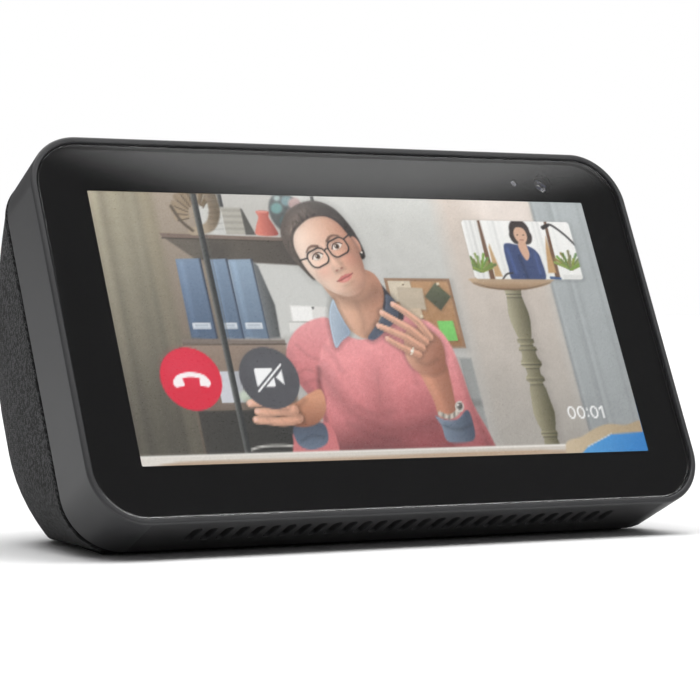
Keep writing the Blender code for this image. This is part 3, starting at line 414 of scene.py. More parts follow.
def wovenMesh(name, colour):  # fine dust cloth: crossed threads with dark holes between
    made, tree, shader = newMaterial(name, Base_Color=(*colour, 1), Roughness=0.6, Metallic=0.2)
    coords = placed(tree)
    across = node(tree, "TexWave", {"Vector": coords, "Scale": 700.0}, bands_direction="X").outputs["Fac"]
    along = node(tree, "TexWave", {"Vector": coords, "Scale": 700.0}, bands_direction="Y").outputs["Fac"]
    threads = math2(tree, "MAXIMUM", across, along)
    link(tree, blendColours(tree, spread(tree, threads, 0.0, 1.0, 0.45, 0.8), (0.001, 0.001, 0.001), colour),
         shader.inputs["Base Color"])
    link(tree, spread(tree, threads, 0.9, 0.5), shader.inputs["Roughness"])
    raise_(tree, shader, threads, 0.05 * mm)
    return made


def clearGlass(name, tint=(1, 1, 1), ior=1.36):  # coated cover glass with a trace of handling
    made, tree, shader = newMaterial(name, Base_Color=(*tint, 1), Roughness=0.02, IOR=ior,
                                     Transmission_Weight=1.0)
    coords = placed(tree)
    smears = noise(tree, coords, 45.0, 6.0, 0.6)
    link(tree, spread(tree, smears, 0.008, 0.04, 0.45, 0.75), shader.inputs["Roughness"])
    link(tree, blendColours(tree, spread(tree, smears, 0.0, 1.0), tint, tuple(c * 0.985 for c in tint)),
         shader.inputs["Base Color"])
    raise_(tree, shader, noise(tree, coords, 30.0, 2.0), 0.0006 * mm)
    return made


def printedInk(name, colour):  # black ink on the back of the glass, with a fine screen-print texture
    made, tree, shader = newMaterial(name, Base_Color=(*colour, 1), Roughness=0.6, Specular_IOR_Level=0.08)
    coords = placed(tree)
    dots = noise(tree, coords, 5000.0, 2.0)
    link(tree, blendColours(tree, spread(tree, dots, 0.0, 1.0), colour,
                            tuple(c * 1.8 + 0.001 for c in colour)),
         shader.inputs["Base Color"])
    link(tree, spread(tree, dots, 0.5, 0.7), shader.inputs["Roughness"])
    return made


def lensGlass(name):
    made, tree, shader = newMaterial(name, Base_Color=(0.012, 0.014, 0.03, 1), Roughness=0.04, IOR=1.6,
                                     Coat_Weight=1.0)
    coords = placed(tree)
    rings = node(tree, "TexWave", {"Vector": coords, "Scale": 260.0}, wave_type="RINGS",
                 rings_direction="SPHERICAL")
    link(tree, blendColours(tree, rings.outputs["Fac"], (0.006, 0.007, 0.014), (0.03, 0.035, 0.08)),
         shader.inputs["Base Color"])
    link(tree, spread(tree, noise(tree, coords, 400.0), 0.03, 0.08), shader.inputs["Roughness"])
    return made


def ferrite(name, colour):
    made, tree, shader = newMaterial(name, Base_Color=(*colour, 1), Roughness=0.55, Metallic=0.55)
    coords = placed(tree)
    grit = noise(tree, coords, 2600.0, 6.0, 0.7)
    link(tree, blendColours(tree, spread(tree, grit, 0.0, 1.0), tuple(c * 0.6 for c in colour),
                            tuple(c * 1.5 for c in colour)), shader.inputs["Base Color"])
    link(tree, spread(tree, grit, 0.45, 0.7), shader.inputs["Roughness"])
    raise_(tree, shader, grit, 0.03 * mm)
    return made


knit = {"wale": 0.42 * mm, "course": 0.34 * mm, "dark": (0.006, 0.006, 0.0065),
        "light": (0.105, 0.105, 0.109),
        "twoTone": (0.46, 0.62)}


def knitFabric(name):
    # rows of small V-shaped stitches laid out on the sleeve's own UV, which is in metres, in a two-tone yarn
    made, tree, shader = newMaterial(name, Base_Color=(*knit["dark"], 1), Roughness=0.95, Sheen_Weight=0.08,
                                     Sheen_Roughness=0.5, IOR=1.4)
    coords = placed(tree)
    flat = node(tree, "SeparateXYZ", {0: placed(tree, "UV")})
    wale = math2(tree, "DIVIDE", flat.outputs["X"], knit["wale"])
    course = math2(tree, "DIVIDE", flat.outputs["Y"], knit["course"])
    # 0 mid stitch, 0.5 edge
    side = math2(tree, "ABSOLUTE", math2(tree, "SUBTRACT", math2(tree, "FRACT", wale), 0.5))
    slanted = math2(tree, "FRACT", math2(tree, "ADD", course, math2(tree, "MULTIPLY", side, 1.3)))
    yarn = math2(tree, "SINE", math2(tree, "MULTIPLY", slanted, math.pi))
    legs = math2(tree, "SINE", math2(tree, "MULTIPLY", side, 2 * math.pi))
    height = math2(tree, "MULTIPLY", yarn, math2(tree, "ADD", math2(tree, "MULTIPLY", legs, 0.7), 0.3))
    cell = node(tree, "CombineXYZ", {0: math2(tree, "FLOOR", wale),
                                     1: math2(tree, "FLOOR",
                                              math2(tree, "ADD", course,
                                                    math2(tree, "MULTIPLY", side, 1.3)))})
    perStitch = node(tree, "TexWhiteNoise", {"Vector": cell.outputs[0]},
                     noise_dimensions="2D").outputs["Value"]
    melange = noise(tree, coords, 1800.0, 3.0, 0.6)
    broad = noise(tree, coords, 90.0, 3.0)
    shade = math2(tree, "ADD", math2(tree, "MULTIPLY", perStitch, 0.75),
                  math2(tree, "MULTIPLY", melange, 0.25))
    yarnColour = blendColours(tree, spread(tree, shade, 0.0, 1.0, *knit["twoTone"]), knit["dark"],
                              knit["light"])
    # the yarn darkens towards the low parts of each stitch: painted shade in the knit's hollows
    deep = blendColours(tree, spread(tree, height, 0.0, 1.0, 0.05, 0.75),
                        tuple(c * 0.35 for c in knit["dark"]), yarnColour)
    link(tree, blendColours(tree, spread(tree, broad, 0.0, 0.18), deep, (0.0, 0.0, 0.0)),
         shader.inputs["Base Color"])
    link(tree, spread(tree, melange, 0.88, 1.0), shader.inputs["Roughness"])
    raise_(tree, shader, math2(tree, "ADD", height, math2(tree, "MULTIPLY", melange, 0.5)), 0.09 * mm, 0.9)
    return made


finish = {
    "frame": mouldedPlastic("satinCharcoal", (0.038, 0.038, 0.04), 0.42, 7000.0, 0.012, shine=0.36),
    # a rougher copy of the frame plastic for the underside, made darker as painted shade
    "under": mouldedPlastic("shadedMattUnderside", (0.03, 0.03, 0.031), 0.58, 6000.0, 0.02, wear=0.1, shine=0.45),
    "button": mouldedPlastic("buttonCharcoal", (0.045, 0.045, 0.047), 0.38, 8000.0, 0.008),
    "black": mouldedPlastic("innerBlack", (0.012, 0.012, 0.013), 0.5, 5000.0, 0.02),
    "tray": mouldedPlastic("trayBlack", (0.018, 0.018, 0.02), 0.45, 6000.0, 0.015),
    "glass": clearGlass("coverGlass"),
    "ink": printedInk("borderInk", (0.0025, 0.0025, 0.0027)),
    "fabric": knitFabric("charcoalKnit"),
    "rubber": rubberFinish("footRubber", (0.012, 0.012, 0.012)),
    "dustMesh": wovenMesh("dustMesh", (0.008, 0.008, 0.009)),
    "steel": brushedMetal("tinnedSteel", (0.56, 0.56, 0.55), 0.34),
    "screwSteel": brushedMetal("zincScrew", (0.6, 0.6, 0.58), 0.3, (1, 1, 8), 900.0),
    "aluminium": brushedMetal("rolledAluminium", (0.74, 0.75, 0.76), 0.3, (30, 1, 30)),
    "magnet": ferrite("ferrite", (0.06, 0.06, 0.065)),
    "board": circuitBoard("circuitBoard", (0.01, 0.085, 0.035), (0.75, 0.52, 0.2)),
    "cable": flatCable("flatCable", (0.03, 0.022, 0.014), (0.35, 0.2, 0.07)),
    "lens": lensGlass("lensGlass"),
    "cone": paperCone("paperCone", (0.028, 0.028, 0.028)),
}
print("materials ready:", len(finish))

# ---- CAD nodes that keep their shape get their finish

carriedOver = {
    "black": ("rear_shell", "chassis", "speaker_box", "camera_module"),
    "steel": ("display_back_plate", "processor_shield", "radio_shield", "speaker_basket", "mic_switch",
              "volume_down_switch", "volume_up_switch", "microphone_left", "microphone_right"),
    "screwSteel": tuple(n for n in nodes if "_screw_" in n),
    "aluminium": ("heat_spreader",),
    "magnet": ("speaker_magnet",),
    "board": ("main_board", "button_board", "camera_board", "port_board"),
    "cable": ("display_flex", "button_flex", "speaker_lead", "power_lead", "wifi_antenna_left",
              "wifi_antenna_right"),
    "rubber": ("speaker_surround",),
    "lens": ("light_sensor",),
    "cone": ("speaker_cone",),
}
for finishName, members in carriedOver.items():
    for member in members:
        nodes[member].data.materials.clear()
        nodes[member].data.materials.append(finish[finishName])


# ---- front frame

frameShape = {
    "corner": 12 * mm, "taper": 0.6 * mm, "wall": 1.8 * mm, "lip": 1.3 * mm, "ledge": 1.7 * mm,
    "edge": 0.5 * mm, "edgeSteps": 5, "boss": 2.8 * mm, "web": 2 * mm,
    "slots": 29, "slotPitch": 3.58 * mm, "slotWide": 1.8 * mm, "slotLong": 6.5 * mm, "slotDeep": 6.9 * mm,
    "slotSoft": 0.16 * mm, "clear": 0.3 * mm, "micHole": 0.6 * mm,
}


def frameOutline(inset, depth):  # sides and top draw in towards the back; the underside doesn't
    taper = frameShape["taper"] * depth / frameDeep
    return roundedOutline(halfWide - inset - taper, inset, faceTall - inset - taper,
                          frameShape["corner"] - inset)


def makeFrame():
    s = frameShape
    edge, lip, wall = s["edge"], s["lip"], s["wall"]
    ledgeNear, ledgeFar = span("display_panel")[0].y, span("display_panel")[0].y + 1.25 * mm
    rings = []
    quarter = [math.pi / 2 * i / s["edgeSteps"] for i in range(s["edgeSteps"] + 1)]
    for turn in quarter:  # outer lip edge
        rings.append(ringAt(frameOutline(edge * (1 - math.sin(turn)), edge * (1 - math.cos(turn))),
                            edge * (1 - math.cos(turn))))
    for turn in quarter:  # rear outer edge
        inset = edge * (1 - math.cos(turn))
        depth = frameDeep - edge * (1 - math.sin(turn))
        rings.append(ringAt(frameOutline(inset, depth), depth))
    for inset, depth in ((wall, frameDeep), (wall, ledgeFar), (lip + s["ledge"], ledgeFar),
                         (lip + s["ledge"], ledgeNear), (lip, ledgeNear)):
        rings.append(ringAt(frameOutline(inset, depth), depth))
    soft = 0.18 * mm
    for turn in quarter[::2] + quarter[-1:]:  # inner lip edge
        rings.append(ringAt(frameOutline(lip - soft * (1 - math.cos(turn)), soft * (1 - math.sin(turn))),
                            soft * (1 - math.sin(turn))))
    frameBody = loft("satin_front_frame", rings, faceMatrix, closed=True, sharp=40)

    chassisNear = span("chassis")[0].y
    pieces, pilots = [], []
    for screw in (n for n in nodes if n.startswith("shell_screw_")):  # bosses stand on the screws' own axes
        low, high = span(screw)
        x, z = (low.x + high.x) / 2, (low.z + high.z) / 2
        outer = math.copysign(halfWide - s["taper"] - wall / 2, x)
        pieces.append(block("web", (min(x, outer), ledgeFar - 0.5 * mm, z - s["web"] / 2),
                            (max(x, outer), chassisNear - 0.8 * mm, z + s["web"] / 2), 0, faceMatrix))
        pieces.append(turnedPiece("boss", [(s["boss"], ledgeFar), (s["boss"], chassisNear - 0.3 * mm)],
                                  (x, 0, z), steps=40, matrix=faceMatrix))
        pilots.append(turnedPiece("pilot", [(1.3 * mm, ledgeFar + 2 * mm), (1.3 * mm, chassisNear + mm)],
                                  (x, 0, z), steps=24, matrix=faceMatrix))
    weld(frameBody, *pieces, sharp=40)

    slotTools = []
    flare = 0.6 * mm
    for number in range(s["slots"]):
        x = (number - (s["slots"] - 1) / 2) * s["slotPitch"]
        rings = []
        for grow, z in ((s["slotSoft"] + flare, -flare), (0.0, s["slotSoft"]), (0.0, wall + mm)):
            outline = pillOutline(s["slotLong"] + 2 * grow, s["slotWide"] + 2 * grow, 10)
            rings.append([(x - b, s["slotDeep"] + a, z) for a, b in outline])
        slotTools.append(loft("slot", rings, faceMatrix))
    slotTool = joinLoose(slotTools[0], *slotTools[1:])

    topTools = []
    low, high = faceTall - 4 * mm, faceTall + 2 * mm
    for name in ("mic_button", "volume_down_button", "volume_up_button"):
        near, far = span(name)
        middle, deep = (near.x + far.x) / 2, (near.y + far.y) / 2
        grow = 2 * s["clear"]
        length, width = buttonShape["length"] + grow, buttonShape["width"] + grow
        mouth = faceTall - s["taper"] * deep / frameDeep
        layers = ((length, width, low), (length, width, mouth - 0.15 * mm),
                  (length + 0.5 * mm, width + 0.5 * mm, mouth + 0.1 * mm),
                  (length + 0.5 * mm, width + 0.5 * mm, high))
        topTools.append(pillStack("opening", layers, (middle, deep), faceMatrix))
    travel = max(next(j["range_m"] for j in frame["joints"] if j["name"] == "shutter_slide"))
    stemLow, stemHigh, stemDeep = shutterStem()
    halfThick = shutterShape["stemThick"] / 2 + s["clear"]
    topTools.append(block("opening", (stemLow - travel - s["clear"], stemDeep - halfThick, low),
                          (stemHigh + s["clear"], stemDeep + halfThick, high), 0.25 * mm, faceMatrix))
    for name in ("microphone_left", "microphone_right"):
        near, far = span(name)
        centre = ((near.x + far.x) / 2, (near.y + far.y) / 2, 0)
        topTools.append(turnedPiece("opening", [(s["micHole"], low), (s["micHole"], faceTall - 0.35 * mm),
                                                (s["micHole"] + 0.4 * mm, faceTall + 0.05 * mm),
                                                (s["micHole"] + 0.4 * mm, high)],
                                    centre, "z", 32, faceMatrix))
    carve(frameBody, slotTool, *pilots, *topTools, sharp=40)
    settle(frameBody, finish["frame"], "frame_plastic", "body", "front_frame")
    frameBody.data.materials.append(finish["under"])  # the slotted underside gets a duller copy of the plastic; its darker colour is painted shade on the down-facing chin and slot walls
    # the underside and slot faces take the copy with the painted shade
    toFace = faceMatrix.inverted()
    for polygon in frameBody.data.polygons:
        centre = toFace @ (frameBody.matrix_world @ polygon.center)
        facing = toFace.to_3x3() @ (frameBody.matrix_world.to_3x3() @ polygon.normal)
        inside = abs(facing.x) > 0.3 or centre.z > 0.2 * mm or facing.z < -0.8
        below = centre.z < wall - 0.05 * mm and abs(centre.x) < halfWide - s["corner"]
        if inside and below and s["edge"] < centre.y < frameDeep - s["edge"]:
            polygon.material_index = 1
    return frameBody


# ---- glass, printed border

glassShape = {"inset": 1.6 * mm, "bevel": 0.32 * mm, "steps": 5, "inkThick": 0.1 * mm, "inkBehind": 0.08 * mm,
              "pictureIn": (2.05 * mm, 0.6 * mm, 4.3 * mm, 1.6 * mm), "lensHole": 2.3 * mm,
              "sensorHole": 0.85 * mm}


def pictureEdges():  # left, right, bottom, top of the lit picture on the panel
    low, high = span("display_panel")
    left, right, under, over = glassShape["pictureIn"]
    return low.x + left, high.x - right, low.z + under, high.z - over


def makeGlass():
    low, high = span("cover_glass")
    corner = frameShape["corner"] - glassShape["inset"]
    bevel = glassShape["bevel"]
    rings = []
    for i in range(glassShape["steps"] + 1):
        turn = math.pi / 2 * i / glassShape["steps"]
        inset = bevel * (1 - math.sin(turn))
        depth = low.y + bevel * (1 - math.cos(turn))
        rings.append(ringAt(roundedOutline(high.x - inset, low.z + inset, high.z - inset, corner - inset),
                            depth))
    rings.append(ringAt(roundedOutline(high.x, low.z, high.z, corner), high.y - 0.05 * mm))
    rings.append(ringAt(roundedOutline(high.x - 0.05 * mm, low.z + 0.05 * mm, high.z - 0.05 * mm, corner),
                        high.y))
    glass = loft("cover_glass_clear", rings, faceMatrix, sharp=60)
    settle(glass, finish["glass"], "cover_glass", "body", "cover_glass")

    near = high.y + glassShape["inkBehind"]
    far = near + glassShape["inkThick"]
    edge = roundedOutline(high.x - 0.05 * mm, low.z + 0.05 * mm, high.z - 0.05 * mm, corner)
    ink = loft("printed_border", [ringAt(edge, near), ringAt(edge, far)], faceMatrix)
    left, right, bottom, top = pictureEdges()
    middle = (left + right) / 2
    window = [(x + middle, z) for x, z in roundedOutline((right - left) / 2, bottom, top, 0.3 * mm, 4)]
    tools = [loft("window", [ringAt(window, near - mm), ringAt(window, far + mm)], faceMatrix)]
    lensLow, lensHigh = span("camera_lens")
    lensAt = ((lensLow.x + lensHigh.x) / 2, 0, (lensLow.z + lensHigh.z) / 2)
    sensorLow, sensorHigh = span("light_sensor")
    sensorAt = ((sensorLow.x + sensorHigh.x) / 2, 0, (sensorLow.z + sensorHigh.z) / 2)
    for radius, at in ((glassShape["lensHole"], lensAt), (glassShape["sensorHole"], sensorAt)):
        tools.append(turnedPiece("hole", [(radius, near - mm), (radius, far + mm)], at, steps=48,
                                 matrix=faceMatrix))
    carve(ink, *tools)
    return settle(ink, finish["ink"], "cover_glass", "body")


# ---- buttons in the top edge

buttonShape = {"length": 9.6 * mm, "width": 4.4 * mm, "flange": 0.8 * mm, "soft": 0.45 * mm, "softSteps": 5,
               "flangeLong": 2 * mm, "flangeWide": 1.4 * mm, "signDeep": 0.18 * mm}
buttonMarks = {  # length, width, x, y, upright
    "mic_button": [(1.5, 0.85, 0, 0.35, True), (1.3, 0.3, 0, -1.15, False), (0.55, 0.3, 0, -0.85, True),
                   (1.0, 0.28, -0.85, 0.0, True), (1.0, 0.28, 0.85, 0.0, True), (1.9, 0.28, 0, -0.62, False)],
    "volume_down_button": [(2.2, 0.4, 0, 0, False)],
    "volume_up_button": [(2.2, 0.4, 0, 0, False), (2.2, 0.4, 0, 0, True)],
}


def makeButton(name, signs):
    low, high = span(name)
    middle, deep, top = (low.x + high.x) / 2, (low.y + high.y) / 2, high.z
    s = buttonShape
    length, width = s["length"], s["width"]
    flangeTop = low.z + s["flange"]
    layers = [(length + s["flangeLong"], width + s["flangeWide"], low.z),
              (length + s["flangeLong"], width + s["flangeWide"], flangeTop), (length, width, flangeTop)]
    for i in range(s["softSteps"] + 1):
        turn = math.pi / 2 * i / s["softSteps"]
        drawIn = 2 * s["soft"] * (1 - math.cos(turn))
        layers.append((length - drawIn, width - drawIn, top - s["soft"] * (1 - math.sin(turn))))
    piece = pillStack(name + "_cap", layers, (middle, deep), faceMatrix, steps=20)
    tools = []
    for long, wide, offX, offY, upright in signs:  # each mark is a pill sunk into the cap, in millimetres
        rings = []
        for z in (top - s["signDeep"], top + mm):
            outline = pillOutline(long * mm, wide * mm, 8)
            rings.append([(middle + offX * mm + (-b if upright else a),
                           deep + offY * mm + (a if upright else b), z)
                          for a, b in outline])
        tools.append(loft("mark", rings, faceMatrix))
    if tools:
        carve(piece, *tools)
    return settle(piece, finish["button"], "button_plastic", name + "_body", name)


# ---- camera and its shutter

shutterShape = {"blade": 6.6 * mm, "bladeThick": 0.4 * mm, "stemWide": 4 * mm, "stemThick": 1.2 * mm,
                "thumb": (7.2 * mm, 3.6 * mm, 0.7 * mm), "ridges": 5, "ridgePitch": 1.1 * mm,
                "ridgeDeep": 0.22 * mm}


def shutterStem():  # the stem's two sides, and how deep it stands
    high = span("camera_shutter")[1]
    stemLow = high.x - shutterShape["blade"]
    return stemLow, stemLow + shutterShape["stemWide"], high.y - shutterShape["thumb"][1] / 2


def makeShutter():
    low, high = span("camera_shutter")
    s = shutterShape
    lowX, stemHigh, stemDeep = shutterStem()
    stemMid = (lowX + stemHigh) / 2
    thumbWide, thumbLong, thumbTall = s["thumb"]
    lensTop = span("camera_module")[1].z
    armLow, armHigh = lensTop + 0.3 * mm, lensTop + 1.2 * mm
    blade = block("sliding_shutter", (lowX, low.y, low.z), (lowX + s["blade"], low.y + s["bladeThick"],
                                                            armHigh),
                  0.08 * mm, faceMatrix)
    arm = block("arm", (lowX, low.y + 0.1 * mm, armLow), (lowX + s["stemWide"],
                                                          stemDeep + s["stemThick"] / 2, armHigh),
                0, faceMatrix)
    stem = block("stem", (lowX, stemDeep - s["stemThick"] / 2, armLow + 0.1 * mm),
                 (lowX + s["stemWide"], stemDeep + s["stemThick"] / 2, high.z - thumbTall / 2), 0, faceMatrix)
    thumb = block("thumb", (stemMid - thumbWide / 2, stemDeep - thumbLong / 2, high.z - thumbTall),
                  (stemMid + thumbWide / 2, stemDeep + thumbLong / 2, high.z), 0.28 * mm, faceMatrix, 5)
    weld(blade, arm, stem, thumb)
    ridges = []
    for number in range(s["ridges"]):
        x = stemMid + (number - (s["ridges"] - 1) / 2) * s["ridgePitch"]
        rings = []
        for z, wide in ((high.z - s["ridgeDeep"], 0.24 * mm), (high.z + 0.1 * mm, 0.6 * mm)):
            rings.append([(x - b, stemDeep + a, z) for a, b in pillOutline(2.6 * mm, wide, 6)])
        ridges.append(loft("ridge", rings, faceMatrix))
    carve(blade, *ridges)
    return settle(blade, finish["frame"], "frame_plastic", "shutter", "camera_shutter")


def makeLens():
    low, high = span("camera_lens")
    radius = (high.x - low.x) / 2
    centre = ((low.x + high.x) / 2, 0, (low.z + high.z) / 2)
    barrel = [(radius, high.y), (radius, low.y + 0.16 * mm), (radius - 0.12 * mm, low.y + 0.05 * mm),
              (radius - 0.5 * mm, low.y + 0.05 * mm)]
    barrel += [(radius - 0.75 * mm, low.y + 0.22 * mm), (radius * 0.55, low.y + 0.36 * mm),
               (radius * 0.42, low.y + 0.38 * mm)]
    dome = [(radius * 0.42 * math.cos(a), low.y + 0.38 * mm - 0.26 * mm * math.sin(a)) for a in
            (math.pi / 2 * i / 7 for i in range(1, 7))]
    lens = turnedPiece("camera_eye", barrel + dome, centre, steps=64, matrix=faceMatrix, sharp=50)
    return settle(lens, finish["lens"], "lens", "body", "camera_lens")


# ---- fabric sleeve

bodyShape = {"pole": 17 * mm, "sidePower": 3.4, "lowPower": 4.5, "growth": 52 * mm, "corner": 12 * mm,
             "reach": 0.995, "rings": 84, "arcSteps": 18, "straightSteps": 22, "hem": 1.1 * mm,
             "fold": 0.42 * mm}
sleeveLow, sleeveHigh = span("fabric_sleeve")
bodyStart, bodyHalf, bodyTop = sleeveLow.y, sleeveHigh.x, sleeveHigh.z
bodyLong = (sleeveHigh.y - bodyStart) / bodyShape["reach"]


def softerLeast(first, second, power=4):
    return (first ** -power + second ** -power) ** (-1 / power)


def bodyRing(part, inset):  # the body's outline a part of the way back, drawn in by an inset
    s = bodyShape
    half = bodyHalf * (1 - part ** s["sidePower"]) ** (1 / s["sidePower"])
    high = s["pole"] + (bodyTop - s["pole"]) * math.sqrt(1 - part ** 2)
    low = s["pole"] * (1 - (1 - part ** s["lowPower"]) ** (1 / s["lowPower"]))
    scale = 1 - inset / bodyHalf
    radius = softerLeast(s["corner"] + s["growth"] * part, (high - low) / 2) * scale
    highIn = high - inset * (high - s["pole"]) / (bodyTop - s["pole"])
    outline = roundedOutline(half * scale, low + inset, highIn, radius, s["arcSteps"], s["straightSteps"])
    return ringAt(outline, bodyStart + (bodyLong - inset) * part)


def makeSleeve():
    s = bodyShape
    thick = 1.0 * mm
    parts = [s["reach"] * math.sin(math.pi / 2 * i / (s["rings"] - 1)) for i in range(s["rings"])]
    parts = [p for p in parts if p * bodyLong > s["fold"] or p == 0][1:]
    outer = [bodyRing(part, 0) for part in parts]
    inner = [bodyRing(part, thick) for part in parts]
    fold = []  # the cloth turns into the seam with a soft edge
    for i in range(7):
        turn = math.pi * i / 6
        inset = thick / 2 * (1 - math.cos(turn))
        ring = bodyRing(0, inset)
        back = s["fold"] * (1 - math.sin(turn))
        fold.append([(x, bodyStart + back, z) for x, y, z in ring])
    rings = outer[::-1] + fold + inner
    sleeve = loft("knit_sleeve", rings, faceMatrix, sharp=60)
    mesh = sleeve.data

    # the knit's own flat layout: across is measured round each ring from the top,
    # along runs back from the seam
    count = len(rings[0])
    points = np.array([v.co for v in mesh.vertices]).reshape(len(rings), count, 3)
    step = np.linalg.norm(np.diff(np.concatenate([points, points[:, :1]], 1), axis=1), axis=2)
    around = np.concatenate([np.zeros((len(rings), 1)), np.cumsum(step, 1)], 1)
    topMid = s["arcSteps"] + s["straightSteps"] // 2
    around = around - around[:, topMid:topMid + 1]
    alongStep = np.linalg.norm(np.diff(points[:, topMid], axis=0), axis=1)
    along = np.concatenate([[0], np.cumsum(alongStep)])
    uv = mesh.uv_layers.new(name="knit")
    loops = np.array([l.vertex_index for l in mesh.loops])
    ring, place = loops // count, loops % count
    u = around[ring, place]
    for polygon in mesh.polygons:  # the last column closes on the ring's full length
        indices = list(polygon.loop_indices)
        places = place[indices]
        if len(indices) == 4 and 0 in places and count - 1 in places:
            for i in indices:
                if place[i] == 0:
                    u[i] = around[ring[i], count]
    uv.data.foreach_set("uv", np.stack([u, along[ring]], 1).ravel())

    hemTool = block("hem", (-0.2, -0.2, -0.2), (0.2, 0.2, s["hem"]))
    trayLow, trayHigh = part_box("port_tray")
    opening = roundedOutline(trayHigh.x + 0.3 * mm, trayLow.z - 0.3 * mm, trayHigh.z + 0.3 * mm, 2.8 * mm, 12)
    openingTool = loft("opening", [ringAt(opening, trayLow.y - 12 * mm),
                                   ringAt(opening, trayHigh.y + 30 * mm)])
    carve(sleeve, hemTool, openingTool, sharp=60)
    sleeve.data.transform(sleeve.matrix_world)  # level axes give the sleeve a close box
    sleeve.matrix_world = Matrix.Identity(4)
    settle(sleeve, finish["fabric"], "fabric", "body", "fabric_sleeve")
    return sleeve

# ---- the lit picture: a video call, painted on a fine flat mesh. Its own units are picture millimetres.

picture = {"wide": 123.2, "tall": 60.6, "columns": 470, "rows": 203, "glow": 0.95, "grain": 2.2,
           "faceTilt": 25.0, "faceAt": (53.6, 47.6), "faceSize": 11.0}


class Canvas:
    def __init__(self, across, up):
        self.x, self.y = across, up
        self.colour = np.zeros((across.size, 3))
        self.random = np.random.default_rng(11)

    def lay(self, colour, distance, soft=0.35, strength=1.0):  # paint a colour, 0-255, inside a shape
        cover = (np.clip(0.5 - distance / soft, 0, 1) * strength)[:, None]
        self.colour = self.colour * (1 - cover) + np.asarray(colour, float).reshape(-1, 3) * cover

    def shade(self, gain, distance, soft=1.0):  # lighten or darken what is there
        cover = np.clip(0.5 - distance / soft, 0, 1)[:, None]
        self.colour = self.colour * (1 + (gain - 1) * cover)

    def turned(self, x, y, turn):
        c, s = math.cos(math.radians(turn)), math.sin(math.radians(turn))
        dx, dy = self.x - x, self.y - y
        return dx * c + dy * s, dy * c - dx * s

    def oval(self, x, y, rx, ry, turn=0.0):
        a, b = self.turned(x, y, turn)
        reach = np.sqrt((a / rx) ** 2 + (b / ry) ** 2)
        slope = np.sqrt((a / rx ** 2) ** 2 + (b / ry ** 2) ** 2) + 1e-6
        return reach * (reach - 1) / slope

    def plate(self, x0, y0, x1, y1, radius=0.0, turn=0.0):
        a, b = self.turned((x0 + x1) / 2, (y0 + y1) / 2, turn)
        a, b = np.abs(a) - (x1 - x0) / 2 + radius, np.abs(b) - (y1 - y0) / 2 + radius
        return np.hypot(np.maximum(a, 0), np.maximum(b, 0)) + np.minimum(np.maximum(a, b), 0) - radius

    def bar(self, x0, y0, x1, y1, r0, r1=None):  # a stroke whose thickness may change
        r1 = r0 if r1 is None else r1
        dx, dy = x1 - x0, y1 - y0
        t = np.clip(((self.x - x0) * dx + (self.y - y0) * dy) / max(dx * dx + dy * dy, 1e-9), 0, 1)
        return np.hypot(self.x - x0 - t * dx, self.y - y0 - t * dy) - (r0 + (r1 - r0) * t)

    def path(self, points, radius, smooth=True, last=None):  # a stroke along a line through points
        if smooth:
            points = throughPoints(points, False)
        last = radius if last is None else last
        count = len(points) - 1
        found = None
        for i, (p, q) in enumerate(zip(points, points[1:])):
            one = self.bar(*p, *q, radius + (last - radius) * i / count,
                           radius + (last - radius) * (i + 1) / count)
            found = one if found is None else np.minimum(found, one)
        return found

    def shape(self, points, smooth=True):  # signed distance to a closed outline
        outline = throughPoints(points, True) if smooth else list(points)
        inside = np.zeros(self.x.size, bool)
        nearest = np.full(self.x.size, 1e9)
        for (x0, y0), (x1, y1) in zip(outline, outline[1:] + outline[:1]):
            dx, dy = x1 - x0, y1 - y0
            t = np.clip(((self.x - x0) * dx + (self.y - y0) * dy) / (dx * dx + dy * dy + 1e-12), 0, 1)
            nearest = np.minimum(nearest, (self.x - x0 - t * dx) ** 2 + (self.y - y0 - t * dy) ** 2)
            crosses = (y0 > self.y) != (y1 > self.y)
            with np.errstate(divide="ignore", invalid="ignore"):
                inside ^= crosses & (self.x < dx * (self.y - y0) / (dy if dy else 1e-12) + x0)
        return np.where(inside, -1, 1) * np.sqrt(nearest)

    def cloud(self, size, seed, stretch=(1.0, 1.0)):  # smooth value noise, -1 to 1
        field = np.random.default_rng(seed).uniform(-1, 1, (64, 64))
        a, b = self.x / size * stretch[0] + 200.3, self.y / size * stretch[1] + 200.7
        i, j = np.floor(a).astype(int), np.floor(b).astype(int)
        u, v = a - i, b - j
        u, v = u * u * (3 - 2 * u), v * v * (3 - 2 * v)
        at = lambda p, q: field[p % 64, q % 64]
        low = at(i, j) * (1 - u) + at(i + 1, j) * u
        high = at(i, j + 1) * (1 - u) + at(i + 1, j + 1) * u
        return low * (1 - v) + high * v


def throughPoints(points, closed, steps=6):  # a smooth line through points
    count = len(points)
    made = []
    for i in range(count if closed else count - 1):
        pick = (lambda k: points[k % count]) if closed else (lambda k: points[min(max(k, 0), count - 1)])
        p0, p1, p2, p3 = (np.array(pick(i + k), float) for k in (-1, 0, 1, 2))
        for step in range(steps):
            t = step / steps
            made.append(tuple(0.5 * (2 * p1 + (p2 - p0) * t + (2 * p0 - 5 * p1 + 4 * p2 - p3) * t ** 2
                                     + (3 * p1 - p0 - 3 * p2 + p3) * t ** 3)))
    if not closed:
        made.append(tuple(points[-1]))
    return made


def mixed(first, second, part):  # colours blended point by point
    part = np.clip(part, 0, 1)[:, None]
    return np.asarray(first, float) * (1 - part) + np.asarray(second, float) * part


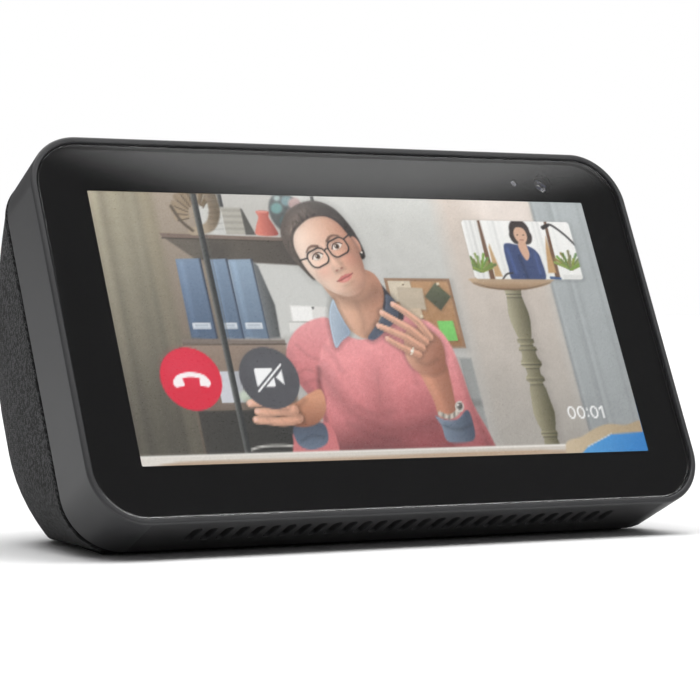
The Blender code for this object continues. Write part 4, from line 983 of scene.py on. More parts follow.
def paintRoom(c):
    down = 1 - c.y / picture["tall"]
    c.colour = mixed((212, 212, 207), (178, 176, 172), down * 1.1)  # plain wall
    c.lay(mixed((224, 210, 198), (168, 163, 156), down * 1.05), c.plate(84, -5, 109, 70), 5.0)
    c.lay((236, 224, 214), c.oval(101, 62, 10.5, 8.0), 5.0)  # lamp glow on the wall
    c.lay((243, 231, 222), c.shape([(94.6, 55.6), (108.4, 55.6), (106.6, 61.5), (96.4, 61.5)], False), 1.0,
          0.7)
    c.lay(mixed((182, 188, 189), (150, 154, 155), down), c.plate(109, -5, 130, 70), 0.8)  # panelled side wall
    for x, gain in ((109.2, 0.86), (110.0, 1.05), (113.6, 0.93), (114.4, 0.9), (115.0, 1.06), (116.2, 0.95),
                    (121.8, 0.93)):
        c.shade(gain, c.plate(x - 0.25, -5, x + 0.25, 70), 0.9)
    # shaded side wall
    c.lay(mixed((170, 162, 140), (92, 88, 78), down * 1.1 + 0.02), c.plate(-5, -5, 12, 70), 1.2)
    c.lay(mixed((158, 148, 126), (100, 95, 84), down * 1.1), c.plate(11.2, -5, 24, 70), 1.4)
    for x, wide, gain in ((1.2, 1.6, 1.1), (2.9, 0.8, 0.9), (5.4, 1.8, 1.05), (8.2, 1.2, 0.95),
                          (10.6, 0.7, 0.9), (12.6, 1.0, 1.06)):
        c.shade(gain, c.plate(x - wide / 2, -5, x + wide / 2, 70), 1.6)
    c.shade(0.93, c.plate(-5, -5, 16, 22), 12.0)
    c.colour *= (1 + 0.02 * c.cloud(7.0, 3) + 0.012 * c.cloud(2.2, 4))[:, None]


def paintShelves(c):
    c.lay(mixed((172, 158, 142), (120, 108, 96), 1 - (c.y - 20) / 40), c.plate(14.8, 28, 24, 62), 2.0)
    c.lay((196, 194, 188), c.shape([(30.6, 62), (44, 62), (44, 51), (30.6, 51)], False), 0.8)
    c.lay((206, 206, 202), c.shape([(36, 44.4), (52, 44.4), (52, 28), (38, 28)], False), 1.2)
    c.lay(mixed((150, 132, 118), (96, 84, 72), 1 - c.y / 26), c.plate(14.5, -2, 38.5, 26.2), 0.8)
    # upper shelf with its underside
    c.lay(mixed((104, 97, 88), (78, 72, 66), (c.x - 20) / 25),
          c.shape([(15.2, 50.4), (44.6, 49.9), (46.5, 44.2), (21.8, 45.3)], False), 0.5)
    c.shade(0.82, c.plate(24.5, 44, 29.5, 49.8, turn=-24), 3.0)
    c.lay((126, 108, 98), c.shape([(14.6, 51.3), (44, 50.7), (44, 49.9), (15.0, 50.3)], False), 0.3)
    c.lay((66, 56, 50), c.bar(15, 50.2, 44, 49.8, 0.12), 0.3)
    # carved ring ornament
    for k in range(9):
        turn = math.radians(200 - 19 * k)
        x, y = 24.4 + 5.2 * math.cos(turn), 56.6 + 5.0 * math.sin(turn)
        c.lay((168 - 6 * k, 150 - 6 * k, 126 - 6 * k), c.bar(x, y, 24.4 + 2.3 * math.cos(turn),
                                                             56.2 + 2.4 * math.sin(turn), 0.75, 0.4), 0.4)
        c.lay((92, 78, 62), c.bar(x, y - 0.7, 24.4 + 2.4 * math.cos(turn), 55.6 + 2.3 * math.sin(turn),
                                  0.12), 0.3)
    c.lay(mixed((176, 160, 138), (112, 98, 80), (c.x - 25) / 4),
          c.path([(28.2, 61), (28.6, 57), (27.2, 53.6), (24.8, 52.2), (22.4, 51.8)], 1.5, last=0.9), 0.5)
    for k in range(7):
        c.shade(0.86, c.bar(26.8, 60 - 1.3 * k, 29.8, 60.3 - 1.3 * k, 0.12), 0.35)
    c.lay((92, 80, 68), c.path([(18.6, 57.5), (20.2, 54.2), (22.4, 52.0)], 0.35), 0.4)
    # books
    c.lay((176, 172, 162), c.plate(30.2, 51.3, 34.8, 57.5, 0.2), 0.3)
    for k in range(8):
        c.shade(0.93 if k % 2 else 1.04, c.plate(30.2, 51.6 + 0.72 * k, 34.8, 52.1 + 0.72 * k), 0.25)
    c.lay((84, 82, 78), c.shape([(34.8, 57.4), (35.2, 57.2), (37.2, 51.2), (34.8, 51.2)], False), 0.3)
    # coral vase
    vase = c.shape([(38.4, 56.8), (41.4, 56.8), (41.2, 55.4), (42.2, 53.0), (42.3, 51.2), (37.5, 51.2),
                    (37.6, 53.0), (38.7, 55.4)])
    c.lay(mixed((222, 132, 116), (166, 84, 76), (c.x - 38.5) / 3.6), vase, 0.35)
    c.lay((236, 160, 146), c.bar(38.9, 56.6, 41.0, 56.6, 0.14), 0.3)
    # round pot with glazed flowers behind the head
    c.lay((92, 96, 96), c.oval(45.6, 56.6, 4.0, 4.8), 0.6)
    for x, y, r, tone in ((43.6, 57.6, 1.5, (118, 158, 156)), (46.4, 59.4, 1.4, (124, 152, 156)),
                          (45.0, 54.6, 1.3, (86, 120, 122)),
                          (48.2, 58.8, 1.6, (196, 168, 164)), (44.2, 60.0, 0.8, (172, 190, 188)),
                          (46.8, 56.6, 1.0, (150, 128, 124))):
        c.lay(tone, c.oval(x, y, r, r * 0.8, 30), 0.7)
    # folders
    for x0, x1, lightTone, darkTone in ((17.0, 22.7, (128, 148, 172), (84, 102, 126)),
                                        (24.4, 28.9, (134, 154, 176), (92, 110, 132)),
                                        (29.2, 34.8, (150, 170, 190), (108, 126, 146))):
        c.lay(mixed(lightTone, darkTone, 1 - (c.y - 28) / 17 + 0.1),
              c.shape([(x0, 45.4), (x1 - 0.2, 45.6), (x1, 27.4), (x0 - 0.1, 27.6)], False), 0.3)
        c.lay((52, 64, 84), c.bar(x1, 45.4, x1 + 0.1, 27.5, 0.22), 0.3)
        c.shade(1.1, c.plate(x0 + 0.6, 28, x0 + 1.7, 45), 0.9)
        c.lay((214, 220, 226), c.plate(x0 + 0.8, 29.7, x1 - 0.8, 31.0), 0.25)
        c.lay((150, 164, 178), c.plate(x0 + 1.4, 30.2, x1 - 1.4, 30.5), 0.25)
    c.lay(mixed((116, 120, 122), (82, 84, 84), (c.x - 34.8) / 3),
          c.shape([(34.9, 45.2), (36.0, 44.0), (38.0, 35), (37.6, 27.6), (34.9, 27.4)], False), 0.4)
    # lower shelves, box and dark cupboard
    c.lay((128, 116, 108), c.shape([(14.4, 27.4), (38.5, 27.2), (38.5, 26.2), (14.8, 26.4)], False), 0.3)
    c.lay((84, 72, 64), c.bar(14.8, 26.3, 38.5, 26.1, 0.15), 0.3)
    c.lay((206, 208, 214), c.plate(20.8, 13.2, 26.4, 20.2, 0.1), 0.3)
    c.shade(0.86, c.plate(24.6, 13.2, 26.4, 20.2), 0.6)
    c.lay((118, 104, 94), c.plate(14.5, 11.8, 36.5, 13.1), 0.3)
    c.lay(mixed((62, 60, 56), (46, 46, 44), (c.x - 15) / 20), c.plate(14.9, -2, 37.5, 11.6), 0.5)
    c.lay((196, 206, 190), c.oval(26.6, 14.6, 1.6, 1.3), 0.8)
    c.lay((206, 204, 198), c.path([(24.0, 2.6), (28.0, 3.6), (34.0, 3.6), (38.0, 2.6)], 0.22), 0.4)
    # white sheets by the shoulder
    c.lay((226, 224, 220), c.shape([(41.4, 35.0), (50.4, 34.6), (51.0, 29.0), (40.2, 29.0), (40.4, 31.2),
                                    (41.3, 31.2)], False), 0.35)
    c.lay((246, 245, 242), c.shape([(41.6, 34.8), (46.6, 34.7), (46.3, 31.4), (41.5, 31.2)], False), 0.3)
    c.lay((80, 80, 80), c.oval(46.9, 34.4, 0.28, 0.28), 0.25)
    c.lay((176, 174, 170), c.bar(40.4, 31.1, 46.6, 31.2, 0.1), 0.25)
    # uprights
    for x, low, high, half in ((24.3, 2.3, 62, 0.72), (30.4, 57.6, 62, 0.5), (52.8, 58.6, 62, 0.4)):
        c.lay(mixed((108, 110, 108), (46, 48, 48), (c.x - x + half * 0.8) / half),
              c.plate(x - half, low, x + half, high), 0.3)
    c.lay((92, 94, 92), c.bar(25.4, 27.0, 25.4, 51.0, 0.12), 0.3, 0.7)


def paintCorkBoard(c):
    c.shade(0.88, c.plate(66.4, 24.4, 83.4, 41.2, 0.2), 1.6)
    c.lay((150, 118, 92), c.plate(66.0, 25.0, 82.6, 41.4), 0.3)
    c.lay(mixed((190, 150, 112), (160, 118, 82), (41 - c.y) / 16), c.plate(66.7, 25.7, 81.9, 40.7), 0.3)
    c.colour += (6.0 * (c.plate(66.7, 25.7, 81.9, 40.7) < 0) * c.cloud(0.5, 8))[:, None]
    for x0, y0, x1, y1, turn, tone in ((66.8, 35.8, 72.4, 40.8, 0, (202, 190, 170)),
                                       (68.6, 34.0, 75.0, 39.2, -2, (186, 172, 152)),
                                       (67.6, 28.4, 73.6, 34.2, 3, (198, 178, 154)),
                                       (76.9, 26.6, 80.9, 31.4, 1, (120, 196, 104))):
        c.shade(0.84, c.plate(x0 + 0.2, y0 - 0.3, x1 + 0.3, y1 - 0.2, 0, turn), 0.8)
        c.lay(tone, c.plate(x0, y0, x1, y1, 0.1, turn), 0.25)
        c.shade(1.06, c.plate(x0, (y0 + y1) / 2, x1, y1, 0, turn), 2.5)
    c.shade(0.84, c.plate(76.0, 34.4, 81.2, 39.6, 0, 45), 0.9)
    c.lay(mixed((100, 104, 82), (70, 74, 58), (40 - c.y) / 6), c.plate(76.2, 34.8, 81.0, 39.4, 0.1, 44), 0.3)
    for x, y in ((79.4, 40.1), (73.3, 32.4), (70.4, 40.3)):
        c.lay((226, 214, 190), c.oval(x, y, 0.38, 0.38), 0.3)
        c.lay((110, 88, 60), c.oval(x + 0.1, y - 0.42, 0.3, 0.16), 0.25)
    c.lay((150, 152, 150), c.plate(80.2, 6.0, 83.2, 22.6), 0.5)  # tall file against the wall
    c.shade(0.85, c.plate(80.0, 11.4, 83.2, 13.0), 0.8)


def paintPedestal(c):
    outline = [(2.3, 39.0), (2.0, 37.4), (2.1, 36.6), (2.7, 33.2), (2.6, 31.0), (2.0, 28.2), (1.7, 27.2),
               (2.2, 26.8), (2.2, 26.2),
               (1.7, 25.8), (1.7, 25.3), (2.4, 24.9), (2.4, 24.4), (1.8, 23.8), (2.1, 22.4), (2.7, 21.6),
               (2.7, 20.8), (1.8, 20.0),
               (1.7, 18.6), (2.4, 17.9), (2.4, 17.2), (1.7, 16.6), (1.8, 15.9), (2.1, 15.4), (2.5, 12.0),
               (2.8, 9.6), (2.3, 7.0),
               (1.8, 5.6), (2.1, 5.2), (2.1, 4.4), (1.7, 3.8), (2.0, 2.0), (2.0, -2.0)]
    middle = 98.4
    around = [(middle + w, y) for w, y in outline] + [(middle - w, y) for w, y in outline[::-1]]
    column = c.shape(around, False)
    side = (c.x - middle) / 2.7
    base = mixed((170, 164, 138), (92, 88, 66), 0.42 + 0.55 * side + 0.25 * (1 - c.y / 40))
    c.shade(0.9, c.shape([(x + 1.0, y - 0.3) for x, y in around], False), 2.2)
    c.lay(base, column, 0.3)
    for y in (38.0, 37.2, 27.0, 25.6, 24.7, 21.2, 20.2, 17.6, 16.4, 5.1, 4.2):
        c.shade(0.74, np.maximum(column, c.plate(middle - 4, y - 0.42, middle + 4, y - 0.12)), 0.3)
        c.shade(1.16, np.maximum(column, c.plate(middle - 4, y, middle + 4, y + 0.25)), 0.3)
    top = c.shape([(88.2, 40.6), (90, 39.6), (94, 38.9), (98.6, 38.7), (103.0, 39.0), (107.4, 39.9),
                   (109.4, 40.8), (108.6, 41.6), (89.4, 41.6)])
    c.lay(mixed((204, 178, 148), (142, 112, 84), (41.4 - c.y) / 2.6), top, 0.3)
    c.shade(0.8, c.path([(88.8, 40.4), (94, 39.1), (98.6, 38.9), (103, 39.2), (108.8, 40.6)], 0.16), 0.3)


def paintDesk(c):
    c.lay(mixed((224, 219, 211), (206, 199, 190), c.x / 90), c.plate(-5, -5, 130, 2.3), 0.25)
    c.lay((246, 243, 238), c.bar(-5, 2.15, 103, 2.05, 0.12), 0.25)
    c.lay((188, 164, 140), c.shape([(5, 0.4), (40, 0.7), (103, 0.7), (103, -5), (4, -5)]), 0.5)
    c.lay(mixed((206, 188, 160), (176, 156, 126), (c.x - 100) / 20), c.shape(
        [(101.5, 0.2), (102.5, 2.8), (106.5, 3.8), (110.5, 5.6), (114.5, 6.6), (119, 6.3), (124.5, 6.8),
         (125, -2), (102, -2)]), 0.4)
    c.lay(mixed((86, 158, 214), (52, 128, 196), (c.x - 106) / 16),
          c.shape([(104.4, -1), (107.5, 1.4), (114.6, 4.2), (125, 4.6), (125, -2)], False), 0.35)
    c.lay((210, 226, 236), c.bar(107.6, 1.5, 114.6, 4.3, 0.1), 0.25, 0.8)


def paintInset(c):
    c.shade(0.86, c.plate(89.6, 41.0, 118.8, 55.6, 1.0), 1.2)
    box = c.plate(89.4, 41.4, 118.3, 55.7, 0.9)
    kept = c.colour.copy()
    c.colour = mixed((250, 249, 246), (236, 236, 232), (55 - c.y) / 18)
    for x, tone in ((90.6, 226), (91.8, 214), (93.0, 232), (96.6, 238), (97.8, 226), (99.4, 242),
                    (108.4, 234), (109.6, 226), (113.6, 240), (115.6, 246)):
        c.lay((tone, tone, tone - 3), c.plate(x - 0.3, 40, x + 0.3, 57), 0.8)
    for x, y, lean_ in ((94.0, 48.5, 0.0), (111.6, 48.5, -1.0)):  # wooden stands
        c.lay((112, 82, 62), c.shape([(x - 0.35 - lean_ * 0.3, 56), (x + 0.35 - lean_ * 0.3, 56),
                                      (x + 0.7 + lean_ * 0.2, 41), (x - 0.7 + lean_ * 0.2, 41)], False), 0.3)
    c.lay((196, 158, 112), c.shape([(109.2, 43), (110.2, 49), (111.0, 52), (111.4, 43)], False), 0.4)
    c.lay((198, 164, 120), c.shape([(95.0, 49), (95.4, 50), (96.8, 42), (94.8, 42)], False), 0.4)
    for k in range(46):  # two leafy plants
        side = 1 if k % 2 else 0
        x0, y0 = (91.6, 42.6) if side else (115.6, 43.4)
        turn = math.radians(90 + 64 * math.sin(k * 2.4))
        far = 2.6 + 2.0 * abs(math.sin(k * 1.7))
        tone = (124 + 22 * math.sin(k), 142 + 20 * math.sin(k * 1.3), 78 + 18 * math.sin(k * 0.7))
        c.lay(tone, c.bar(x0 + 0.4 * math.sin(k), y0 + 0.5, x0 + far * math.cos(turn),
                          y0 + far * math.sin(turn) * 1.1, 0.18, 0.34), 0.3)
    c.lay((226, 226, 222), c.plate(113.0, 41.0, 118.6, 42.6, 0.2), 0.3)
    # small sitter: hair, head, blue shirt, hand at the chin
    c.lay((58, 74, 116), c.shape([(99.0, 49.2), (100.2, 50.2), (102.8, 49.8), (105.4, 49.6), (107.4, 48.4),
                                  (108.2, 46.0), (107.6, 41.0), (99.6, 41.0),
                                  (98.9, 44.5)]), 0.35)
    c.shade(1.25, c.bar(99.9, 48.8, 100.6, 43.0, 0.4), 0.8)
    c.shade(0.8, c.bar(102.6, 47.0, 103.4, 41.5, 0.4), 0.8)
    c.shade(1.2, c.bar(106.9, 47.6, 107.0, 43.0, 0.35), 0.7)
    c.lay((52, 42, 40), c.oval(104.3, 53.2, 2.7, 3.0), 0.4)
    c.lay((52, 42, 40), c.shape([(101.7, 53), (106.9, 53), (106.4, 50.2), (102.2, 50.2)]), 0.4)
    c.lay((206, 164, 138), c.plate(103.4, 48.9, 105.2, 51.0, 0.4), 0.4)
    c.lay((218, 178, 152), c.oval(104.3, 52.3, 1.75, 2.15), 0.35)
    c.lay((52, 42, 40), c.shape([(102.4, 53.0), (103.4, 54.1), (105.4, 54.0), (106.3, 52.9), (106.2, 55.0),
                                 (102.5, 55.0)]), 0.35)
    for x in (103.5, 105.1):
        c.lay((70, 52, 46), c.oval(x, 52.3, 0.24, 0.12), 0.22)
    c.lay((150, 88, 82), c.bar(103.9, 51.0, 104.7, 51.0, 0.1), 0.22)
    c.lay((214, 172, 146), c.shape([(103.2, 50.4), (104.2, 50.9), (105.2, 49.6), (105.4, 47.4),
                                    (104.4, 46.0), (103.6, 47.0), (103.0, 49.0)]), 0.35)
    c.lay((40, 38, 38), c.path([(111.4, 54.6), (113.2, 54.9), (116.2, 52.6), (118.6, 49.8)], 0.26), 0.3)
    c.lay((40, 38, 38), c.bar(110.9, 54.2, 112.4, 54.8, 0.5, 0.35), 0.3)
    c.lay((48, 44, 42), c.path([(96.6, 41.3), (98.0, 42.6), (99.6, 42.9)], 0.18), 0.3)
    c.lay((70, 96, 140), c.bar(109.6, 41.8, 112.0, 41.6, 0.35), 0.3)
    inner = c.colour
    c.colour = kept
    cover = np.clip(0.5 - box / 0.25, 0, 1)[:, None]
    c.colour = c.colour * (1 - cover) + inner * cover


def paintControls(c):
    c.lay((220, 34, 64), c.oval(14.9, 18.6, 6.9, 6.9), 0.25)
    c.lay((234, 62, 88), c.oval(14.5, 21.0, 5.0, 3.6), 3.5, 0.35)
    arc = c.path([(11.2, 17.6), (11.9, 18.8), (13.4, 19.4), (14.9, 19.55), (16.4, 19.4), (17.9, 18.8),
                  (18.6, 17.6)], 0.55)
    c.lay((255, 246, 246), arc, 0.25)
    for x, turn in ((12.0, 10), (17.8, -10)):
        c.lay((255, 246, 246), c.plate(x - 1.1, 16.9, x + 1.1, 18.7, 0.35, turn), 0.25)
    c.lay((82, 82, 87), c.oval(32.9, 18.6, 6.9, 6.9), 0.25)
    c.lay((96, 97, 102), c.oval(32.4, 21.2, 5.0, 3.4), 3.5, 0.4)
    c.lay((250, 250, 250), c.plate(29.7, 16.6, 34.0, 20.8, 0.5), 0.25)
    c.lay((250, 250, 250), c.shape([(34.4, 18.7), (36.1, 20.4), (36.1, 17.0)], False), 0.25)
    c.lay((82, 82, 87), c.bar(29.6, 15.6, 36.0, 21.4, 0.62), 0.22)
    c.lay((250, 250, 250), c.bar(29.8, 15.7, 36.1, 21.5, 0.22), 0.22)
    stroke = 0.2
    for x in (105.6, 108.1, 111.6):  # running minutes and seconds
        ring = np.abs(c.oval(x, 9.5, 0.85, 1.25)) - stroke
        c.lay((250, 250, 250), ring, 0.22)
    c.lay((250, 250, 250), np.minimum(c.bar(113.9, 8.2, 113.9, 10.8, stroke),
                                      c.bar(113.1, 10.2, 113.9, 10.8, stroke)), 0.22)
    for y in (8.7, 10.2):
        c.lay((250, 250, 250), c.oval(109.85, y, 0.24, 0.24), 0.22)


def paintClothes(c):
    wool = c.cloud(0.45, 21, (1.0, 1.6)) * 5 + c.cloud(1.3, 22) * 3
    light, mid, dark = (236, 160, 162), (214, 132, 134), (132, 66, 70)

    def knitShade(x0, y0, x1, y1, across, start=0.0):  # light to dark from one place to another
        along = ((c.x - x0) * (x1 - x0) + (c.y - y0) * (y1 - y0)) / ((x1 - x0) ** 2 + (y1 - y0) ** 2)
        tone = mixed(light, mid, along * 2 + start)
        return mixed(tone, dark, (along - 0.5) * 2 * across) + wool[:, None]

    # far sleeve, behind the raised forearm
    sleeve = c.shape([(72.5, 31.4), (76.6, 29.6), (78.9, 25.4), (80.0, 19.0), (80.8, 12.0), (83.4, 4.0),
                      (83.6, -3), (70.0, -3), (69.5, 10), (70, 24)])
    c.lay(knitShade(75, 30, 78, 0, 0.8), sleeve, 0.4)
    c.shade(0.78, np.maximum(sleeve, c.path([(70.5, 22), (72.0, 12), (71.5, 0)], 2.4)), 3.0)
    c.shade(0.84, np.maximum(sleeve, c.path([(79.6, 22), (80.2, 12), (82.6, 0)], 0.5)), 1.8)
    # body of the jumper
    torso = c.shape([(50.4, 31.6), (46.4, 30.8), (43.4, 28.4), (42.0, 22), (43.0, 14), (43.4, 6), (43.6, -3),
                     (72.4, -3), (72.2, 6), (72.8, 16),
                     (73.2, 24), (73.4, 30.6), (70.0, 33.4), (66.0, 35.0), (62.4, 30.2), (58.0, 27.2),
                     (53.6, 28.0)])
    c.lay(knitShade(52, 30, 62, -1, 0.95), torso, 0.4)
    c.shade(1.06, np.maximum(torso, c.oval(53.5, 22.5, 6.5, 5.0)), 9.0)
    c.shade(1.05, np.maximum(torso, c.oval(63.0, 20.0, 5.0, 5.5)), 8.0)
    c.shade(0.86, np.maximum(torso, c.oval(58.4, 16.0, 1.6, 5.0, -8)), 6.0)
    c.shade(0.80, np.maximum(torso, c.path([(45.6, 19.6), (51.0, 10.4), (60.0, 6.6), (70.0, 7.6)], 0.9)), 4.5)
    c.shade(0.74, np.maximum(torso, c.oval(53.0, 0.5, 11.0, 5.2, -10)), 6.0)
    for line, gain in (([(46.0, 27.4), (49.0, 24.0), (50.4, 20.0)], 0.9),
                       ([(52.0, 12.0), (56.0, 10.2), (61.0, 10.6)], 0.9),
                       ([(64.4, 27.6), (67.0, 23.0), (68.0, 17.0)], 0.9),
                       ([(49.0, 8.2), (54.0, 5.4), (60.0, 4.2)], 0.88)):
        c.shade(gain, np.maximum(torso, c.path(line, 0.3)), 1.8)
    # near sleeve
    sleeve = c.shape([(50.0, 32.0), (46.0, 31.6), (41.8, 29.4), (39.0, 26.2), (37.9, 22.6), (39.0, 18.4),
                      (41.4, 14.4), (43.4, 11.6),
                      (45.2, 13.4), (44.8, 17.0), (45.0, 20.8), (46.8, 25.2), (49.8, 28.6)])
    c.lay(knitShade(43, 31, 43, 10, 0.5), sleeve, 0.4)
    c.shade(0.66, np.maximum(torso, c.path([(45.0, 20.6), (44.3, 16.6), (43.9, 10.0), (43.6, 2.0)], 0.35)),
            1.3)
    c.shade(0.88, np.maximum(sleeve, c.path([(38.8, 24.0), (39.2, 20.2), (41.6, 15.4)], 0.7)), 2.0)
    c.shade(0.9, np.maximum(sleeve, c.path([(41.0, 26.0), (43.4, 23.4), (45.4, 22.6)], 0.25)), 1.0)
    for x, y, wide in ((39.9, 19.6, 0.5), (40.8, 17.2, 0.45)):
        c.shade(0.88, np.maximum(sleeve, c.path([(x, y), (x + 2, y + 0.8), (x + 3.6, y + 0.4)], wide * 0.4)),
                0.9)
    # turned-back pink edge and shirt cuff on the near arm
    c.lay((204, 120, 122), c.shape([(34.6, -2), (35.2, 4.4), (36.4, 6.6), (44.6, 8.2), (44.4, -2)]), 0.4)
    c.lay(mixed((104, 118, 136), (70, 78, 94), (c.y - 3) / 6),
          c.shape([(35.6, 6.2), (36.6, 3.4), (39.6, 2.6), (43.2, 4.2), (43.4, 8.0), (40.2, 8.8),
                   (36.6, 8.2)]), 0.35)
    c.shade(0.8, c.path([(37.2, 4.6), (39.6, 5.6), (42.6, 5.4)], 0.2), 0.7)


def paintShirtAndNeck(c):
    skin = mixed((228, 186, 160), (186, 136, 112), (c.x - 52) / 11)
    neck = c.shape([(50.8, 40.6), (52.4, 36.0), (53.6, 31.0), (55.4, 28.6), (58.2, 27.3), (61.0, 29.6),
                    (64.0, 34.4), (65.2, 38.6), (63.6, 42.6), (58.6, 43.5)])
    c.lay((58, 54, 60), c.shape([(62.0, 42.8), (64.4, 40.8), (67.2, 36.4), (68.8, 32.4), (66.0, 31.0),
                                 (63.4, 35.6), (61.6, 38.6)]), 0.4)
    c.lay(skin, neck, 0.4)
    c.shade(0.80, np.maximum(neck, c.path([(52.6, 38.0), (56.0, 36.0), (60.0, 36.4), (63.4, 38.4)], 1.1)),
            3.0)
    c.shade(0.9, np.maximum(neck, c.path([(57.8, 35.6), (58.4, 31.6), (58.0, 28.6)], 0.3)), 1.5)
    c.shade(1.05, np.maximum(neck, c.oval(56.0, 32.6, 1.4, 2.6, 10)), 2.4)
    for points, first, second in (
            ([(52.2, 36.4), (50.4, 32.8), (50.0, 28.4), (50.3, 25.2), (52.2, 26.8), (54.6, 28.6),
              (53.8, 31.2), (52.9, 34.0)], (176, 190, 204), (134, 150, 170)),
            ([(65.6, 37.6), (67.6, 35.8), (67.4, 32.4), (63.8, 29.4), (60.2, 27.0), (58.6, 27.4),
              (60.4, 29.4), (63.0, 32.0), (64.8, 35.0)], (84, 92, 108), (52, 58, 72))):
        collar = c.shape(points)
        c.shade(0.75, collar - 0.5, 1.4)
        c.lay(mixed(first, second, (c.x - points[0][0]) / 5 + (36 - c.y) / 22), collar, 0.3)
        c.shade(1.14, np.abs(collar + 0.3) - 0.06, 0.2)
    shirt = c.shape([(50, 25), (50, 37), (55, 37), (55, 25)], False)
    c.colour += (2.5 * (shirt < 0) * c.cloud(0.3, 30))[:, None]


def paintHead(c):
    cx, cy = picture["faceAt"]
    tilt, size = picture["faceTilt"], picture["faceSize"] / 11.0
    cosT, sinT = math.cos(math.radians(tilt)), math.sin(math.radians(tilt))

    def at(a, b):  # face terms: a to the right of its middle, b above the eye line
        return cx + size * (a * cosT - b * sinT), cy + size * (a * sinT + b * cosT)

    def outline(points):
        return c.shape([at(a, b) for a, b in points])

    def oval(a, b, ra, rb, turn=0.0):
        return c.oval(*at(a, b), ra * size, rb * size, tilt + turn)

    def line(points, radius, last=None):
        return c.path([at(a, b) for a, b in points], radius * size,
                      last=None if last is None else last * size)

    a, b = c.turned(cx, cy, tilt)
    a, b = a / size, b / size
    hair = outline([(-8.2, -1.0), (-8.9, 3.0), (-8.2, 7.2), (-5.2, 10.6), (-0.6, 12.0), (4.4, 11.2),
                    (7.8, 8.0), (9.0, 3.4), (8.8, -1.6),
                    (7.6, -5.0), (5.0, -4.0), (0.0, 0.0), (-5.0, -3.0), (-7.2, -4.0)])
    hairTone = mixed((98, 88, 82), (46, 40, 38), 0.5 + 0.06 * a - 0.03 * b)
    c.shade(0.9, hair - 0.6, 2.4)
    c.lay(hairTone, hair, 0.45)
    for k in range(15):  # combed strands
        start = -7.6 + k * 1.1
        strand = line([(start * 0.30 - 0.6, 7.4 + 0.10 * abs(start)),
                       (start * 0.75, 10.2 - 0.06 * start * start),
                       (start * 1.08, 7.4 - 0.05 * start * start), (start * 1.12, 2.4)], 0.10)
        c.shade(1.22 if k % 3 else 0.82, np.maximum(hair, strand), 0.55)
    c.shade(1.28, np.maximum(hair, line([(-5.8, 7.6), (-2.4, 9.8), (1.6, 10.2)], 0.35)), 1.7)
    # ears, then the face
    c.lay((206, 154, 132), oval(7.5, -1.6, 1.0, 2.0, -8), 0.4)
    face = outline([(-7.2, 1.5), (-7.3, -1.6), (-6.7, -4.6), (-5.4, -7.6), (-3.2, -10.0), (-1.2, -11.0),
                    (1.2, -11.0), (3.2, -10.0),
                    (5.4, -7.6), (6.7, -4.6), (7.3, -1.6), (7.2, 1.5), (6.6, 4.6), (4.8, 6.9), (1.6, 8.0),
                    (-1.2, 7.9), (-4.6, 6.8), (-6.6, 4.4)])
    sideLight = 0.42 + 0.075 * a - 0.018 * b
    c.shade(0.7, np.maximum(hair, face - 0.3), 1.2)
    tone = mixed((246, 220, 202), (222, 176, 152), sideLight * 1.6)
    tone = mixed(tone, (184, 132, 110), (sideLight - 0.58) * 2.2)
    c.lay(tone, face, 0.4)

    def soften(distance, soft, gain):
        c.shade(gain, np.maximum(distance, face), soft)

    soften(np.abs(face) - 0.25, 1.7, 0.90)
    soften(oval(-1.2, 4.8, 3.4, 1.9), 3.0, 1.045)
    soften(oval(0.0, -10.6, 4.2, 1.6), 2.2, 0.90)
    soften(oval(6.0, -5.0, 1.6, 4.0, 18), 3.2, 0.88)
    soften(oval(-6.2, -5.2, 1.0, 3.2, -16), 2.6, 0.93)
    for side in (-1, 1):
        warm = np.clip(0.5 - oval(side * 3.8, -3.6, 1.6, 1.3) / 2.6, 0, 1)[:, None] * 0.32
        c.colour = c.colour * (1 - warm) + np.array((226, 146, 128)) * warm
        soften(oval(side * 3.6, -2.4, 1.6, 0.9), 1.8, 1.05)
        soften(oval(side * 2.9, 1.1, 1.9, 0.8), 1.5, 0.90)  # eye socket
    # nose
    soften(line([(0.75, 0.8), (0.85, -1.6), (1.25, -3.6)], 0.32, 0.5), 1.0, 0.90)
    soften(line([(-0.1, 1.6), (-0.1, -3.0)], 0.3, 0.45), 0.9, 1.07)
    soften(oval(0.0, -4.95, 1.5, 0.42), 0.9, 0.84)
    for side in (-1, 1):
        soften(oval(side * 1.25, -4.1, 0.5, 0.62), 0.5, 0.95)
        c.lay((142, 88, 74), oval(side * 0.72, -4.62, 0.36, 0.17), 0.3, 0.8)
    # eyes: white, iris, pupil, catch light, lids, brows
    for side in (-1, 1):
        eye = np.maximum(oval(side * 2.9, -0.35, 1.5, 1.05), oval(side * 2.9, 0.30, 1.5, 1.0))
        c.lay((232, 222, 214), eye, 0.28)
        iris = oval(side * 2.9, 0.0, 0.62, 0.62)
        c.lay((94, 66, 48), np.maximum(iris, eye), 0.26)
        c.lay((30, 24, 22), np.maximum(oval(side * 2.9, 0.0, 0.30, 0.30), eye), 0.22)
        c.lay((250, 248, 244), oval(side * 2.9 - 0.24, 0.24, 0.15, 0.15), 0.2)
        c.lay((66, 46, 40), line([(side * 1.45, -0.05), (side * 2.1, 0.62), (side * 3.0, 0.80),
                                  (side * 3.9, 0.5), (side * 4.45, -0.02)], 0.14, 0.11), 0.24)
        soften(line([(side * 1.5, 0.75), (side * 2.9, 1.3), (side * 4.3, 0.75)], 0.08), 0.35, 0.86)
        soften(line([(side * 1.7, -0.55), (side * 2.9, -0.86), (side * 4.1, -0.5)], 0.06), 0.35, 0.86)
        brow = line([(side * 1.5, 1.95), (side * 2.6, 2.5), (side * 3.8, 2.45), (side * 4.8, 1.85)], 0.34,
                    0.14)
        c.lay((96, 70, 58), brow, 0.4, 0.85)
